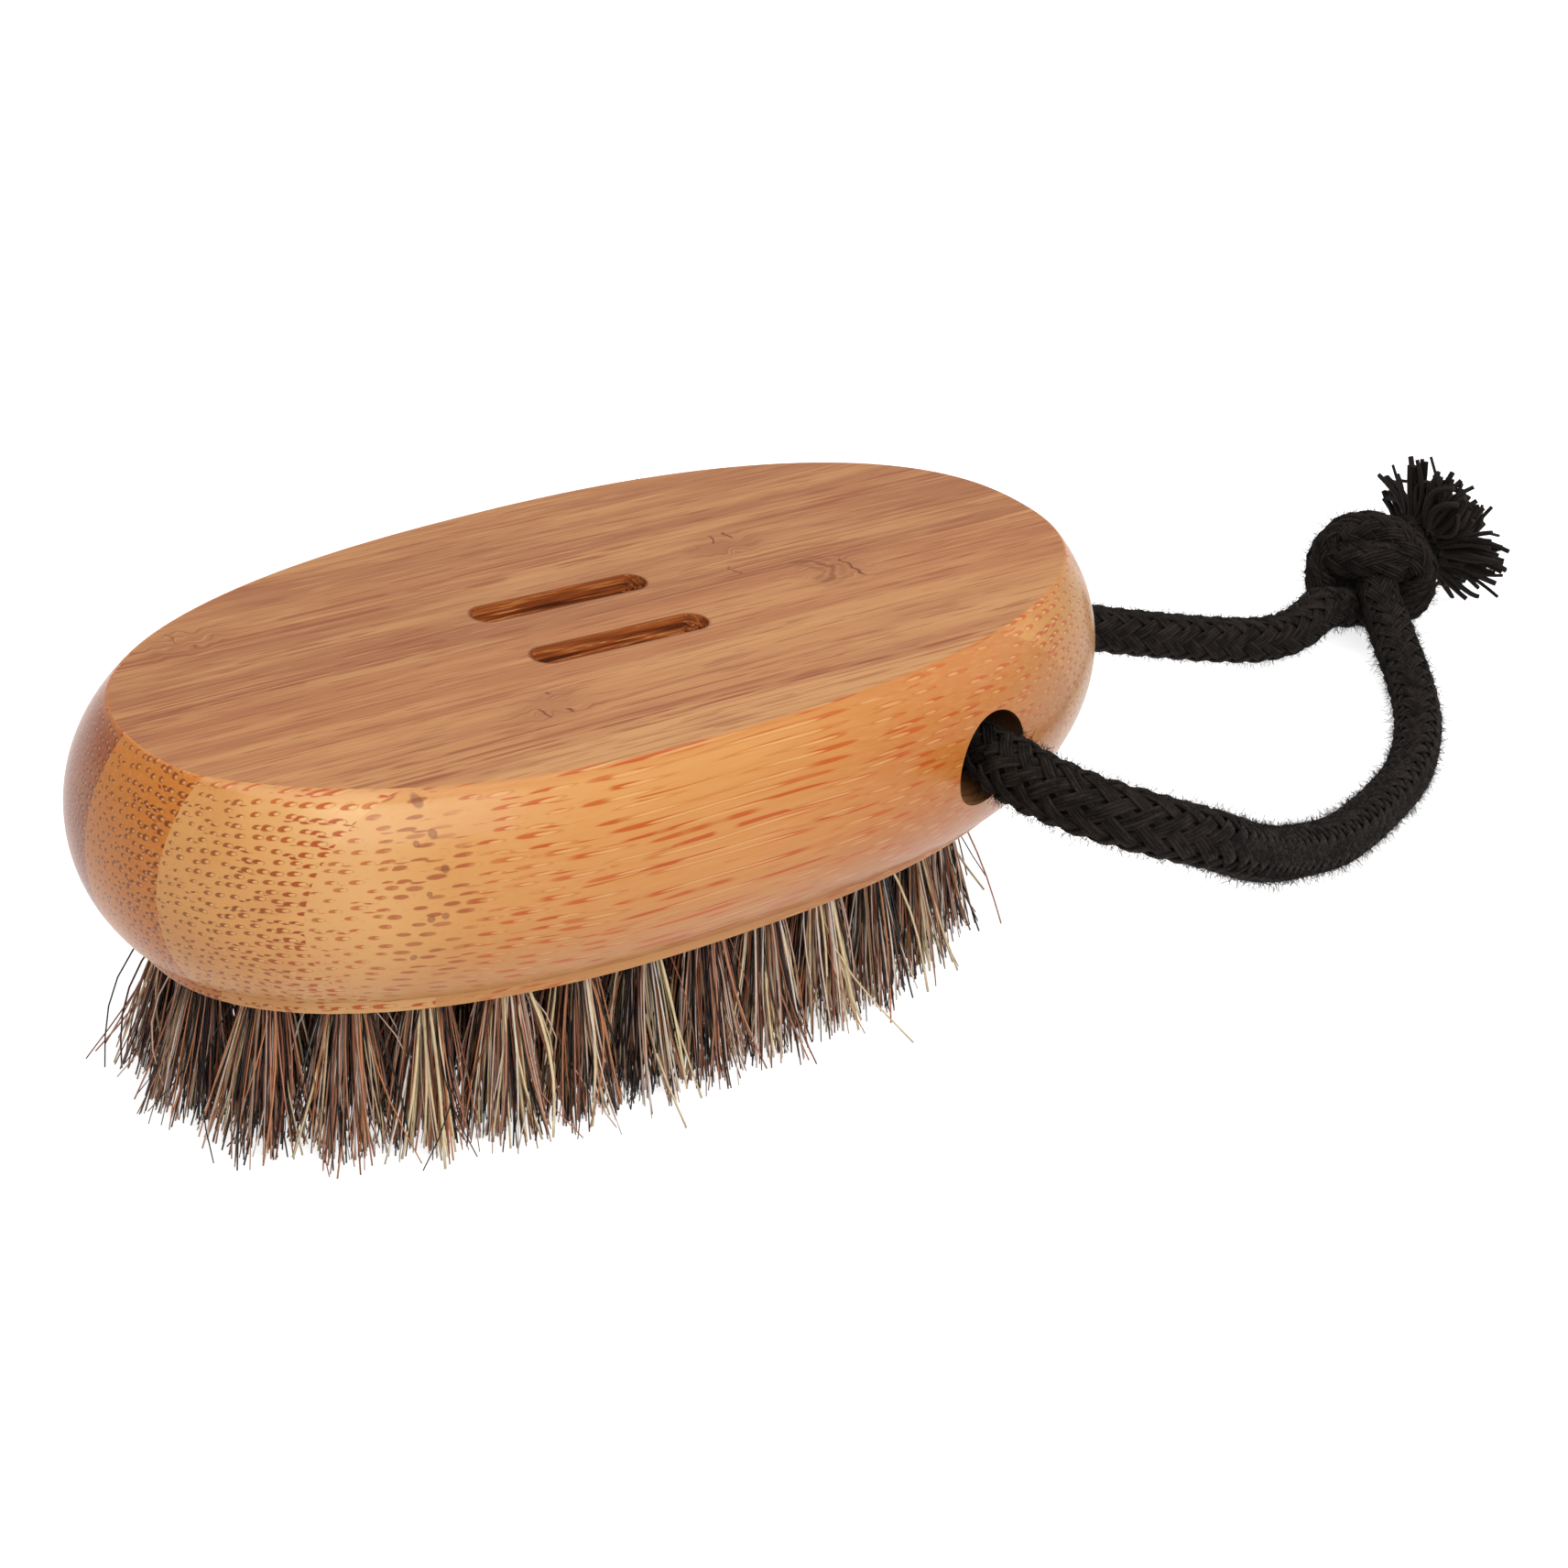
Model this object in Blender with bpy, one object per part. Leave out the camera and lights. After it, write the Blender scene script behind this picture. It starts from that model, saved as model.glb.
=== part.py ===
"""Nail brush: laminated bamboo block, drilled bristle tufts and a knotted cotton loop.

Units are metres and +Z is up. The bristle tips stand on z = 0, the origin is at the
centre of the footprint, and +X runs along the block to the end that carries the cord.
"""

import math

import bmesh
import bpy
from mathutils import Matrix, Vector

MM = 0.001

# Block, measured on its flat top face and down its bulging side
TOP_LENGTH = 102.2 * MM
TOP_WIDTH = 50.0 * MM
OUTLINE_POWER = 2.3
BLOCK_THICKNESS = 23.2 * MM
SIDE_RADIUS = 16.0 * MM
WIDEST_DEPTH = 10.5 * MM
TOP_EASE = 0.4 * MM
RIM_HEIGHT = 1.3 * MM
RIM_INSET = 1.75 * MM
CREASE_INSET = 0.45 * MM
OUTLINE_POINTS = 88
OUTLINE_FINENESS = 40
SIDE_STEPS = 7

# Bamboo strips glued side by side into a plank, a little askew to the block
PLANK_ALLOWANCE = 11.2 * MM
STRIP_COUNT = 6
GLUE_GAP = 0.3 * MM
GRAIN_SKEW = math.radians(-2.5)

# Two plain routed slots in the top face
SLOT_LENGTH = 19.0 * MM
SLOT_WIDTH = 3.4 * MM
SLOT_DEPTH = 2.2 * MM
SLOT_X = -2.4 * MM
SLOT_SPACING = 9.8 * MM
SLOT_Y = 0.3 * MM
SLOT_SKEW = math.radians(-4.4)
SLOT_SIDES = 18

# Bore that the cord runs through, from side to side
BORE_DIAMETER = 9.7 * MM
BORE_X = 25.9 * MM
BORE_DEPTH = 10.6 * MM
BORE_SIDES = 24

# Bristle tufts, set in blind holes in the underside
BRISTLE_LENGTH = 16.4 * MM
HOLE_DIAMETER = 4.4 * MM
HOLE_DEPTH = 6.0 * MM
PLUG_CLEARANCE = 0.3 * MM
PLUG_STUB = 0.5 * MM
HOLE_SIDES = 12
PLUG_SIDES = 10
TUFT_FIELD_END_GAP = 6.4 * MM
OUTER_RING_INSET = 5.5 * MM
OUTER_RING_TUFTS = 27
OUTER_RING_START_SHARE = 0.5
OUTER_RING_LEAN = 1.7 * MM
OUTER_TUFT_SPREAD = 2.6 * MM
INNER_RING_INSET = 13.0 * MM
INNER_RING_TUFTS = 16
INNER_RING_START_SHARE = 0.0
INNER_RING_LEAN = 0.5 * MM
INNER_TUFT_SPREAD = 3.7 * MM
CENTRE_ROW_TUFTS = 6
CENTRE_ROW_PITCH = 9.6 * MM
STRANDS_AROUND = 7
STRAND_SIDES = 3
STRAND_ROOT_SPREAD = 1.2 * MM
STRAND_ROOT_RADIUS = 0.40 * MM
STRAND_TIP_RADIUS = 0.34 * MM
STRAND_LEVEL_SHARES = (0.0, 0.55, 1.0)
STRAND_CURVE_POWER = 1.5

# Cotton cord, its knot and its frayed ends
CORD_DIAMETER = 5.4 * MM
CORD_WALL_CLEARANCE = 0.3 * MM
CORD_SEAT_ANGLE = math.radians(-27.0)
CORD_END_GAP = 0.3 * MM
CORD_MOUTH_REACH = 1.3 * MM
CORD_STEP_DIAMETERS = 1.5
CORD_ROUTE_FINENESS = 24
CORD_BEVEL_RESOLUTION = 2
KNOT_CENTRE = Vector((125.5, 17.0, 7.3)) * MM
KNOT_CORE_RADIUS = 5.6 * MM
KNOT_WRAP_RADIUS = 4.3 * MM
KNOT_WRAP_THICKNESS = 5.0 * MM
KNOT_WRAP_TILTS = (math.radians(62.0), math.radians(-38.0))
KNOT_WRAP_TURNS = (math.radians(20.0), math.radians(105.0))
KNOT_SIDES = 18
KNOT_TUBE_SIDES = 8
KNOT_REACH = 9.8 * MM
FRAY_DIRECTION = Vector((0.918, -0.043, 0.394))
FRAY_START = 8.4 * MM
FRAY_COLLAR_RADIUS = 3.9 * MM
FRAY_COLLAR_LENGTH = 2.4 * MM
FRAY_LENGTH = 13.0 * MM
FRAY_SPREAD = 7.6 * MM
FRAY_RINGS = ((6, 1.0), (6, 0.52))
FRAY_YARN_SIDES = 4
FRAY_YARN_RADIUS = 0.75 * MM
FRAY_ROOT_SHARE = 0.36

# Free routes of the cord, as chosen points from the mouths of the bore to the knot
FRONT_ROUTE = [
    (27.6, -30.6, 28.1), (29.4, -36.4, 27.8), (33.6, -40.5, 26.6), (39.6, -42.0, 24.1),
    (46.4, -40.4, 20.1), (53.6, -37.1, 15.8), (63.0, -32.6, 11.0), (74.6, -28.3, 6.9),
    (87.2, -22.4, 4.1), (98.0, -16.9, 3.1), (106.5, -10.3, 3.1), (112.7, -3.2, 3.6),
]
BACK_ROUTE = [
    (27.6, 30.6, 28.1), (29.4, 36.4, 27.6), (33.6, 40.5, 26.5), (39.6, 41.8, 24.7),
    (46.8, 39.6, 22.1), (56.0, 34.6, 18.2), (67.0, 28.3, 13.8), (75.0, 23.6, 11.1),
    (83.2, 19.6, 8.8), (92.2, 16.6, 6.8), (99.0, 14.5, 5.5), (105.0, 13.2, 4.6),
]
FRONT_ENTRY = Vector((-0.510, -0.832, -0.180))
BACK_ENTRY = Vector((-0.955, -0.235, -0.180))

# One overrun serves every cut, and one angle parts sharp edges from round ones
OVERRUN = 2.0 * MM
SHARP_ANGLE = math.radians(35.0)

# Surface finish of the three materials
BAMBOO_ROUGHNESS = 0.45
BRISTLE_ROUGHNESS = 0.5
COTTON_ROUGHNESS = 0.9

# Places worked out from the sizes above
UNDERSIDE_Z = BRISTLE_LENGTH
TOP_Z = UNDERSIDE_Z + BLOCK_THICKNESS
HALF_LENGTH = TOP_LENGTH / 2
HALF_WIDTH = TOP_WIDTH / 2
STRIP_WIDTH = (TOP_WIDTH + PLANK_ALLOWANCE) / STRIP_COUNT
CORD_RADIUS = CORD_DIAMETER / 2
BORE_Z = TOP_Z - BORE_DEPTH
CORD_SEAT = BORE_DIAMETER / 2 - CORD_RADIUS - CORD_WALL_CLEARANCE
CORD_X = BORE_X + CORD_SEAT * math.cos(CORD_SEAT_ANGLE)
CORD_Z = BORE_Z + CORD_SEAT * math.sin(CORD_SEAT_ANGLE)
CORD_MOUTH_Y = HALF_WIDTH + CORD_MOUTH_REACH


def clear_scene():
    """Remove whatever the file opened with."""
    for obj in list(bpy.data.objects):
        bpy.data.objects.remove(obj, do_unlink=True)


def make_collection(name):
    """Collection in the scene that the pieces or the cutters go into."""
    collection = bpy.data.collections.new(name)
    bpy.context.scene.collection.children.link(collection)
    return collection


def make_material(name, color, roughness):
    """Principled material with a plain colour."""
    material = bpy.data.materials.new(name)
    material.use_nodes = True
    shader = material.node_tree.nodes["Principled BSDF"]
    shader.inputs["Base Color"].default_value = (*color, 1.0)
    shader.inputs["Roughness"].default_value = roughness
    shader.inputs["Metallic"].default_value = 0.0
    material.diffuse_color = (*color, 1.0)
    return material


def add_object(name, bm, collection, material=None):
    """Object made from a bmesh, with its faces pointing out."""
    bmesh.ops.recalc_face_normals(bm, faces=bm.faces[:])
    mesh = bpy.data.meshes.new(name)
    bm.to_mesh(mesh)
    bm.free()
    if material is not None:
        mesh.materials.append(material)
    obj = bpy.data.objects.new(name, mesh)
    collection.objects.link(obj)
    return obj


def make_cutter(name, bm, collection):
    """Guide object that only cuts or joins others."""
    cutter = add_object(name, bm, collection)
    cutter.hide_render = True
    cutter.display_type = "WIRE"
    return cutter


def add_boolean(obj, other, operation):
    """Exact Boolean of one object with another."""
    modifier = obj.modifiers.new(operation.title(), "BOOLEAN")
    modifier.object = other
    modifier.operation = operation
    modifier.solver = "EXACT"


def shade_round(obj):
    """Smooth shading that keeps the sharp edges sharp."""
    obj.data.shade_smooth()
    obj.data.set_sharp_from_angle(angle=SHARP_ANGLE)


def oval_point(angle, half_length, half_width, offset):
    """Point on an oval, moved out along the oval's normal."""
    cosine, sine = math.cos(angle), math.sin(angle)
    share = 2 / OUTLINE_POWER
    x = half_length * math.copysign(abs(cosine) ** share, cosine)
    y = half_width * math.copysign(abs(sine) ** share, sine)
    slope = OUTLINE_POWER - 1
    normal = Vector((
        math.copysign(abs(x / half_length) ** slope / half_length, cosine),
        math.copysign(abs(y / half_width) ** slope / half_width, sine),
    )).normalized()
    return Vector((x, y)) + normal * offset, normal


def even_angles(half_length, half_width, count, first_share=0.0):
    """Angles whose points lie evenly along an oval, the first a share of a step past +X."""
    fine = count * OUTLINE_FINENESS
    angles = [2 * math.pi * step / fine for step in range(fine + 1)]
    points = [oval_point(angle, half_length, half_width, 0)[0] for angle in angles]
    lengths = [0.0]
    for start, end in zip(points, points[1:]):
        lengths.append(lengths[-1] + (end - start).length)
    chosen = []
    index = 0
    for step in range(count):
        target = lengths[-1] * (step + first_share) / count
        while lengths[index + 1] < target:
            index += 1
        share = (target - lengths[index]) / (lengths[index + 1] - lengths[index])
        chosen.append(angles[index] + share * (angles[index + 1] - angles[index]))
    return chosen


def side_offset(depth):
    """How far the side stands out past the top outline at a depth."""
    at_depth = math.sqrt(SIDE_RADIUS ** 2 - (depth - WIDEST_DEPTH) ** 2)
    at_top = math.sqrt(SIDE_RADIUS ** 2 - WIDEST_DEPTH ** 2)
    return at_depth - at_top


def side_profile():
    """Depth and offset of each ring, from the top face down to the underside."""
    crease_depth = BLOCK_THICKNESS - RIM_HEIGHT
    rings = [(0, -TOP_EASE)]
    for step in range(SIDE_STEPS + 1):
        depth = TOP_EASE + (crease_depth - TOP_EASE) * step / SIDE_STEPS
        rings.append((depth, side_offset(depth)))
    rings.append((crease_depth, -RIM_INSET - CREASE_INSET))
    rings.append((crease_depth + CREASE_INSET, -RIM_INSET))
    rings.append((BLOCK_THICKNESS, -RIM_INSET))
    return rings


def block_bmesh():
    """Whole block, extruded down from its top face ring by ring."""
    bm = bmesh.new()
    angles = even_angles(HALF_LENGTH, HALF_WIDTH, OUTLINE_POINTS)

    def ring_places(depth, offset):
        """Places of one ring's corners."""
        places = []
        for angle in angles:
            point, _ = oval_point(angle, HALF_LENGTH, HALF_WIDTH, offset)
            places.append(Vector((point.x, point.y, TOP_Z - depth)))
        return places

    profile = side_profile()
    face = bm.faces.new([bm.verts.new(place) for place in ring_places(*profile[0])])
    top_edges = face.edges[:]
    for depth, offset in profile[1:]:
        face = bmesh.ops.extrude_discrete_faces(bm, faces=[face])["faces"][0]
        for vert, place in zip(face.verts, ring_places(depth, offset)):
            vert.co = place
    bmesh.ops.contextual_create(bm, geom=top_edges)
    return bm


def strip_box(index):
    """Box that cuts one bamboo strip out of the block."""
    width = STRIP_WIDTH - GLUE_GAP
    centre_y = (index - (STRIP_COUNT - 1) / 2) * STRIP_WIDTH
    length = TOP_LENGTH + TOP_WIDTH
    height = TOP_Z + OVERRUN
    bm = bmesh.new()
    bmesh.ops.create_cube(bm, size=1.0)
    bmesh.ops.scale(bm, vec=(length, width, height), verts=bm.verts)
    bmesh.ops.translate(bm, vec=(0, centre_y, height / 2), verts=bm.verts)
    bmesh.ops.rotate(bm, matrix=Matrix.Rotation(GRAIN_SKEW, 3, "Z"), verts=bm.verts)
    return bm


def slots_bmesh():
    """Both round-ended slots, as cutters that stand out of the top face."""
    bm = bmesh.new()
    height = SLOT_DEPTH + OVERRUN
    stretch = (SLOT_LENGTH - SLOT_WIDTH) / 2
    half_side = math.pi / SLOT_SIDES
    for side in (-1, 1):
        made = bmesh.ops.create_cone(
            bm, cap_ends=True, segments=SLOT_SIDES, radius1=SLOT_WIDTH / 2,
            radius2=SLOT_WIDTH / 2, depth=height,
            matrix=Matrix.Rotation(half_side, 4, "Z"),
        )["verts"]
        for vert in made:
            vert.co.x += math.copysign(stretch, vert.co.x)
        bmesh.ops.rotate(bm, matrix=Matrix.Rotation(SLOT_SKEW, 3, "Z"), verts=made)
        place = (SLOT_X, SLOT_Y + side * SLOT_SPACING / 2, TOP_Z - SLOT_DEPTH + height / 2)
        bmesh.ops.translate(bm, vec=place, verts=made)
    return bm


def bore_bmesh():
    """Cylinder along Y that drills the cord's bore."""
    bm = bmesh.new()
    place = Matrix.Translation((BORE_X, 0, BORE_Z)) @ Matrix.Rotation(math.pi / 2, 4, "X")
    bmesh.ops.create_cone(
        bm, cap_ends=True, segments=BORE_SIDES, radius1=BORE_DIAMETER / 2,
        radius2=BORE_DIAMETER / 2, depth=TOP_WIDTH + SIDE_RADIUS, matrix=place,
    )
    return bm


def tuft_rows():
    """Name, root place, lean and spread of every tuft, row by row.

    The rows stop short of the block's edge at the end that has the cord's bore.
    """
    rows = []
    middle = Vector((-TUFT_FIELD_END_GAP / 2, 0))
    rings = (
        (
            "outer", OUTER_RING_INSET, OUTER_RING_TUFTS, OUTER_RING_START_SHARE,
            OUTER_RING_LEAN, OUTER_TUFT_SPREAD,
        ),
        (
            "inner", INNER_RING_INSET, INNER_RING_TUFTS, INNER_RING_START_SHARE,
            INNER_RING_LEAN, INNER_TUFT_SPREAD,
        ),
    )
    for name, inset, count, first_share, lean, spread in rings:
        half_length = HALF_LENGTH - RIM_INSET - inset - TUFT_FIELD_END_GAP / 2
        half_width = HALF_WIDTH - RIM_INSET - inset
        angles = even_angles(half_length, half_width, count, first_share)
        for number, angle in enumerate(angles, 1):
            point, normal = oval_point(angle, half_length, half_width, 0)
            rows.append((f"tuft_{name}_{number:02d}", middle + point, normal * lean, spread))
    for number in range(CENTRE_ROW_TUFTS):
        along = Vector(((number - (CENTRE_ROW_TUFTS - 1) / 2) * CENTRE_ROW_PITCH, 0))
        name = f"tuft_centre_{number + 1:02d}"
        rows.append((name, middle + along, Vector((0, 0)), INNER_TUFT_SPREAD))
    return rows


def holes_bmesh(rows):
    """Cylinders that drill every tuft's blind hole."""
    bm = bmesh.new()
    depth = HOLE_DEPTH + OVERRUN
    for _, point, _, _ in rows:
        place = Matrix.Translation((point.x, point.y, UNDERSIDE_Z + HOLE_DEPTH - depth / 2))
        bmesh.ops.create_cone(
            bm, cap_ends=True, segments=HOLE_SIDES, radius1=HOLE_DIAMETER / 2,
            radius2=HOLE_DIAMETER / 2, depth=depth, matrix=place,
        )
    return bm


def add_strand(bm, levels, sides, turn):
    """Closed tapering strand through (place, radius) levels, each ring lying level."""
    place, radius = levels[0]
    frame = Matrix.Translation(place) @ Matrix.Rotation(turn, 4, "Z")
    first = bmesh.ops.create_circle(
        bm, cap_ends=True, segments=sides, radius=radius, matrix=frame,
    )["verts"]
    face = first[0].link_faces[0]
    root_edges = face.edges[:]
    for level, (next_place, next_radius) in enumerate(levels[1:]):
        step = next_place - levels[level][0]
        face = bmesh.ops.extrude_discrete_faces(bm, faces=[face])["faces"][0]
        bmesh.ops.translate(bm, vec=step, verts=face.verts)
        factor = next_radius / levels[level][1]
        bmesh.ops.scale(
            bm, vec=(factor, factor, 1), verts=face.verts,
            space=Matrix.Translation(-next_place),
        )
    bmesh.ops.contextual_create(bm, geom=root_edges)


def tuft_strands(point, lean, spread):
    """Strands of one tuft, spreading from its root to tips that are cut level at z = 0."""
    bm = bmesh.new()
    spots = [Vector((0, 0))]
    for index in range(STRANDS_AROUND):
        angle = 2 * math.pi * index / STRANDS_AROUND
        spots.append(Vector((math.cos(angle), math.sin(angle))))
    for spot in spots:
        root = point + spot * STRAND_ROOT_SPREAD
        tip = point + lean + spot * spread
        levels = []
        for share in STRAND_LEVEL_SHARES:
            flat = root.lerp(tip, share ** STRAND_CURVE_POWER)
            place = Vector((flat.x, flat.y, UNDERSIDE_Z * (1 - share)))
            radius = STRAND_ROOT_RADIUS + share * (STRAND_TIP_RADIUS - STRAND_ROOT_RADIUS)
            levels.append((place, radius))
        turn = math.atan2(spot.y, spot.x)
        add_strand(bm, levels, STRAND_SIDES, turn)
    return bm


def plug_bmesh(point):
    """Round root of a tuft, seated in its hole."""
    bm = bmesh.new()
    length = HOLE_DEPTH - PLUG_CLEARANCE + PLUG_STUB
    radius = HOLE_DIAMETER / 2 - PLUG_CLEARANCE
    place = Matrix.Translation((point.x, point.y, UNDERSIDE_Z - PLUG_STUB + length / 2))
    bmesh.ops.create_cone(
        bm, cap_ends=True, segments=PLUG_SIDES, radius1=radius, radius2=radius,
        depth=length, matrix=place,
    )
    return bm


def smooth_route(points):
    """Points along a smooth curve through the route, an even step apart."""
    padded = [points[0] * 2 - points[1], *points, points[-1] * 2 - points[-2]]
    curve = []
    for index in range(1, len(padded) - 2):
        before, start, end, after = padded[index - 1:index + 3]
        for step in range(CORD_ROUTE_FINENESS):
            t = step / CORD_ROUTE_FINENESS
            curve.append(0.5 * (
                start * 2 + (end - before) * t
                + (before * 2 - start * 5 + end * 4 - after) * t ** 2
                + (start * 3 - before - end * 3 + after) * t ** 3
            ))
    curve.append(points[-1])
    lengths = [0.0]
    for start, end in zip(curve, curve[1:]):
        lengths.append(lengths[-1] + (end - start).length)
    count = max(2, round(lengths[-1] / (CORD_STEP_DIAMETERS * CORD_DIAMETER)))
    even = []
    index = 0
    for step in range(count + 1):
        target = lengths[-1] * step / count
        while index < len(curve) - 2 and lengths[index + 1] < target:
            index += 1
        share = (target - lengths[index]) / (lengths[index + 1] - lengths[index])
        even.append(curve[index].lerp(curve[index + 1], share))
    return even


def cord_tube(name, points, collection, material):
    """Round cord along straight steps between the points."""
    curve = bpy.data.curves.new(name, "CURVE")
    curve.dimensions = "3D"
    curve.bevel_depth = CORD_RADIUS
    curve.bevel_resolution = CORD_BEVEL_RESOLUTION
    curve.use_fill_caps = True
    spline = curve.splines.new("POLY")
    spline.points.add(len(points) - 1)
    for spline_point, point in zip(spline.points, points):
        spline_point.co = (*point, 1.0)
    spline.use_smooth = True
    curve.materials.append(material)
    obj = bpy.data.objects.new(name, curve)
    collection.objects.link(obj)
    return obj


def free_run(name, side, route, entry, collection, material):
    """Free cord from one mouth of the bore to its entry on the knot."""
    mouth = Vector((CORD_X, side * CORD_MOUTH_Y, CORD_Z))
    knot_face = KNOT_CENTRE + entry.normalized() * (KNOT_REACH + CORD_END_GAP)
    approach = knot_face + entry.normalized() * CORD_DIAMETER
    middle = [Vector(place) * MM for place in route]
    points = [mouth, *smooth_route([*middle, approach]), knot_face]
    return cord_tube(name, points, collection, material)


def aimed(direction, start):
    """Matrix that carries local +Z onto a direction, from a start along it."""
    unit = direction.normalized()
    turn = unit.to_track_quat("Z", "Y").to_matrix().to_4x4()
    return Matrix.Translation(KNOT_CENTRE + unit * start) @ turn


def wrap_bmesh(tilt, turn):
    """One turn of the cord round the knot, as a tilted ring."""
    bm = bmesh.new()
    tube_radius = KNOT_WRAP_THICKNESS / 2
    frame = (
        Matrix.Translation(KNOT_CENTRE) @ Matrix.Rotation(turn, 4, "Z")
        @ Matrix.Rotation(tilt, 4, "Y")
    )
    section = bmesh.ops.create_circle(
        bm, cap_ends=False, segments=KNOT_TUBE_SIDES, radius=tube_radius,
        matrix=Matrix.Translation((KNOT_WRAP_RADIUS, 0, 0)) @ Matrix.Rotation(math.pi / 2, 4, "X"),
    )["verts"]
    edges = list({edge for vert in section for edge in vert.link_edges})
    bmesh.ops.spin(
        bm, geom=section + edges, cent=(0, 0, 0), axis=(0, 0, 1), dvec=(0, 0, 0),
        angle=2 * math.pi, steps=KNOT_SIDES, use_merge=True, use_duplicate=False,
    )
    bmesh.ops.transform(bm, matrix=frame, verts=bm.verts)
    return bm


def stub_bmesh(direction, reach, radius):
    """Short straight piece of cord from the knot's middle out to a flat face."""
    bm = bmesh.new()
    bmesh.ops.create_cone(
        bm, cap_ends=True, segments=KNOT_SIDES, radius1=radius, radius2=radius,
        depth=reach, matrix=aimed(direction, reach / 2),
    )
    return bm


def build_knot(collection, cutters, material):
    """Overhand knot: a core, two wraps and the stubs where the cords go in and out."""
    bm = bmesh.new()
    bmesh.ops.create_icosphere(
        bm, subdivisions=2, radius=KNOT_CORE_RADIUS, matrix=Matrix.Translation(KNOT_CENTRE),
    )
    knot = add_object("cord_knot", bm, collection, material)
    joined = [wrap_bmesh(tilt, turn) for tilt, turn in zip(KNOT_WRAP_TILTS, KNOT_WRAP_TURNS)]
    joined.append(stub_bmesh(FRONT_ENTRY, KNOT_REACH, CORD_RADIUS))
    joined.append(stub_bmesh(BACK_ENTRY, KNOT_REACH, CORD_RADIUS))
    joined.append(stub_bmesh(FRAY_DIRECTION, FRAY_START, FRAY_COLLAR_RADIUS))
    for number, part in enumerate(joined, 1):
        add_boolean(knot, make_cutter(f"knot_join_{number}", part, cutters), "UNION")
    return knot


def build_frayed_ends(collection, cutters, material):
    """Unplaited yarns past the knot, fused to the last of the cord."""
    start = FRAY_START + CORD_END_GAP
    bm = bmesh.new()
    bmesh.ops.create_cone(
        bm, cap_ends=True, segments=KNOT_SIDES, radius1=FRAY_COLLAR_RADIUS,
        radius2=FRAY_COLLAR_RADIUS, depth=FRAY_COLLAR_LENGTH,
        matrix=aimed(FRAY_DIRECTION, start + FRAY_COLLAR_LENGTH / 2),
    )
    ends = add_object("cord_frayed_ends", bm, collection, material)
    yarns = bmesh.new()
    root_z = FRAY_COLLAR_LENGTH / 2
    for count, ring_share in FRAY_RINGS:
        for index in range(count):
            angle = 2 * math.pi * (index + ring_share) / count
            spot = Vector((math.cos(angle), math.sin(angle))) * ring_share * FRAY_SPREAD
            levels = []
            for share in STRAND_LEVEL_SHARES:
                flat = spot * (FRAY_ROOT_SHARE + (1 - FRAY_ROOT_SHARE) * share ** STRAND_CURVE_POWER)
                levels.append((Vector((flat.x, flat.y, root_z + share * FRAY_LENGTH)), FRAY_YARN_RADIUS))
            add_strand(yarns, levels, FRAY_YARN_SIDES, angle)
    bmesh.ops.transform(yarns, matrix=aimed(FRAY_DIRECTION, start), verts=yarns.verts)
    add_boolean(ends, make_cutter("frayed_yarns", yarns, cutters), "UNION")
    return ends


def build_block(collection, cutters, rows):
    """Six bamboo strips with the bore, the slots and the tuft holes cut in them."""
    tones = (
        (0.78, 0.52, 0.26), (0.74, 0.47, 0.22), (0.68, 0.41, 0.19),
        (0.70, 0.42, 0.20), (0.75, 0.49, 0.25), (0.77, 0.51, 0.27),
    )
    bore = make_cutter("bore_cutter", bore_bmesh(), cutters)
    slots = make_cutter("slot_cutter", slots_bmesh(), cutters)
    holes = make_cutter("hole_cutter", holes_bmesh(rows), cutters)
    for index in range(STRIP_COUNT):
        tone = tones[index % len(tones)]
        material = make_material(f"bamboo_{index + 1}", tone, BAMBOO_ROUGHNESS)
        strip = add_object(f"bamboo_strip_{index + 1}", block_bmesh(), collection, material)
        box = make_cutter(f"strip_box_{index + 1}", strip_box(index), cutters)
        add_boolean(strip, box, "INTERSECT")
        add_boolean(strip, bore, "DIFFERENCE")
        add_boolean(strip, slots, "DIFFERENCE")
        add_boolean(strip, holes, "DIFFERENCE")
        shade_round(strip)


def build_tufts(collection, cutters, rows):
    """One bristle tuft for each hole."""
    shades = ((0.16, 0.10, 0.07), (0.30, 0.19, 0.12), (0.07, 0.06, 0.06), (0.62, 0.52, 0.38))
    materials = [
        make_material(f"bristle_{index + 1}", shade, BRISTLE_ROUGHNESS)
        for index, shade in enumerate(shades)
    ]
    for index, (name, point, lean, spread) in enumerate(rows):
        material = materials[index % len(materials)]
        tuft = add_object(name, plug_bmesh(point), collection, material)
        strands = make_cutter(f"{name}_strands", tuft_strands(point, lean, spread), cutters)
        add_boolean(tuft, strands, "UNION")


def build_cord(collection, cutters):
    """Cord through the bore, its two free runs, the knot and the frayed ends."""
    cotton = make_material("black_cotton", (0.012, 0.012, 0.013), COTTON_ROUGHNESS)
    inside = CORD_MOUTH_Y - CORD_END_GAP
    ends = [Vector((CORD_X, -inside, CORD_Z)), Vector((CORD_X, inside, CORD_Z))]
    cord_tube("cord_in_bore", ends, collection, cotton)
    free_run("cord_front_run", -1, FRONT_ROUTE, FRONT_ENTRY, collection, cotton)
    free_run("cord_back_run", 1, BACK_ROUTE, BACK_ENTRY, collection, cotton)
    build_knot(collection, cutters, cotton)
    build_frayed_ends(collection, cutters, cotton)


def main():
    """Build the brush in its own collection."""
    clear_scene()
    brush = make_collection("nail_brush")
    cutters = make_collection("cutters")
    rows = tuft_rows()
    build_block(brush, cutters, rows)
    build_tufts(brush, cutters, rows)
    build_cord(brush, cutters)


main()
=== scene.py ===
"""Looks of the nail brush: lacquered bamboo block, mixed bristles and a black plaited cord."""

import logging
import math
from dataclasses import dataclass, field, replace
from enum import Enum

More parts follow.
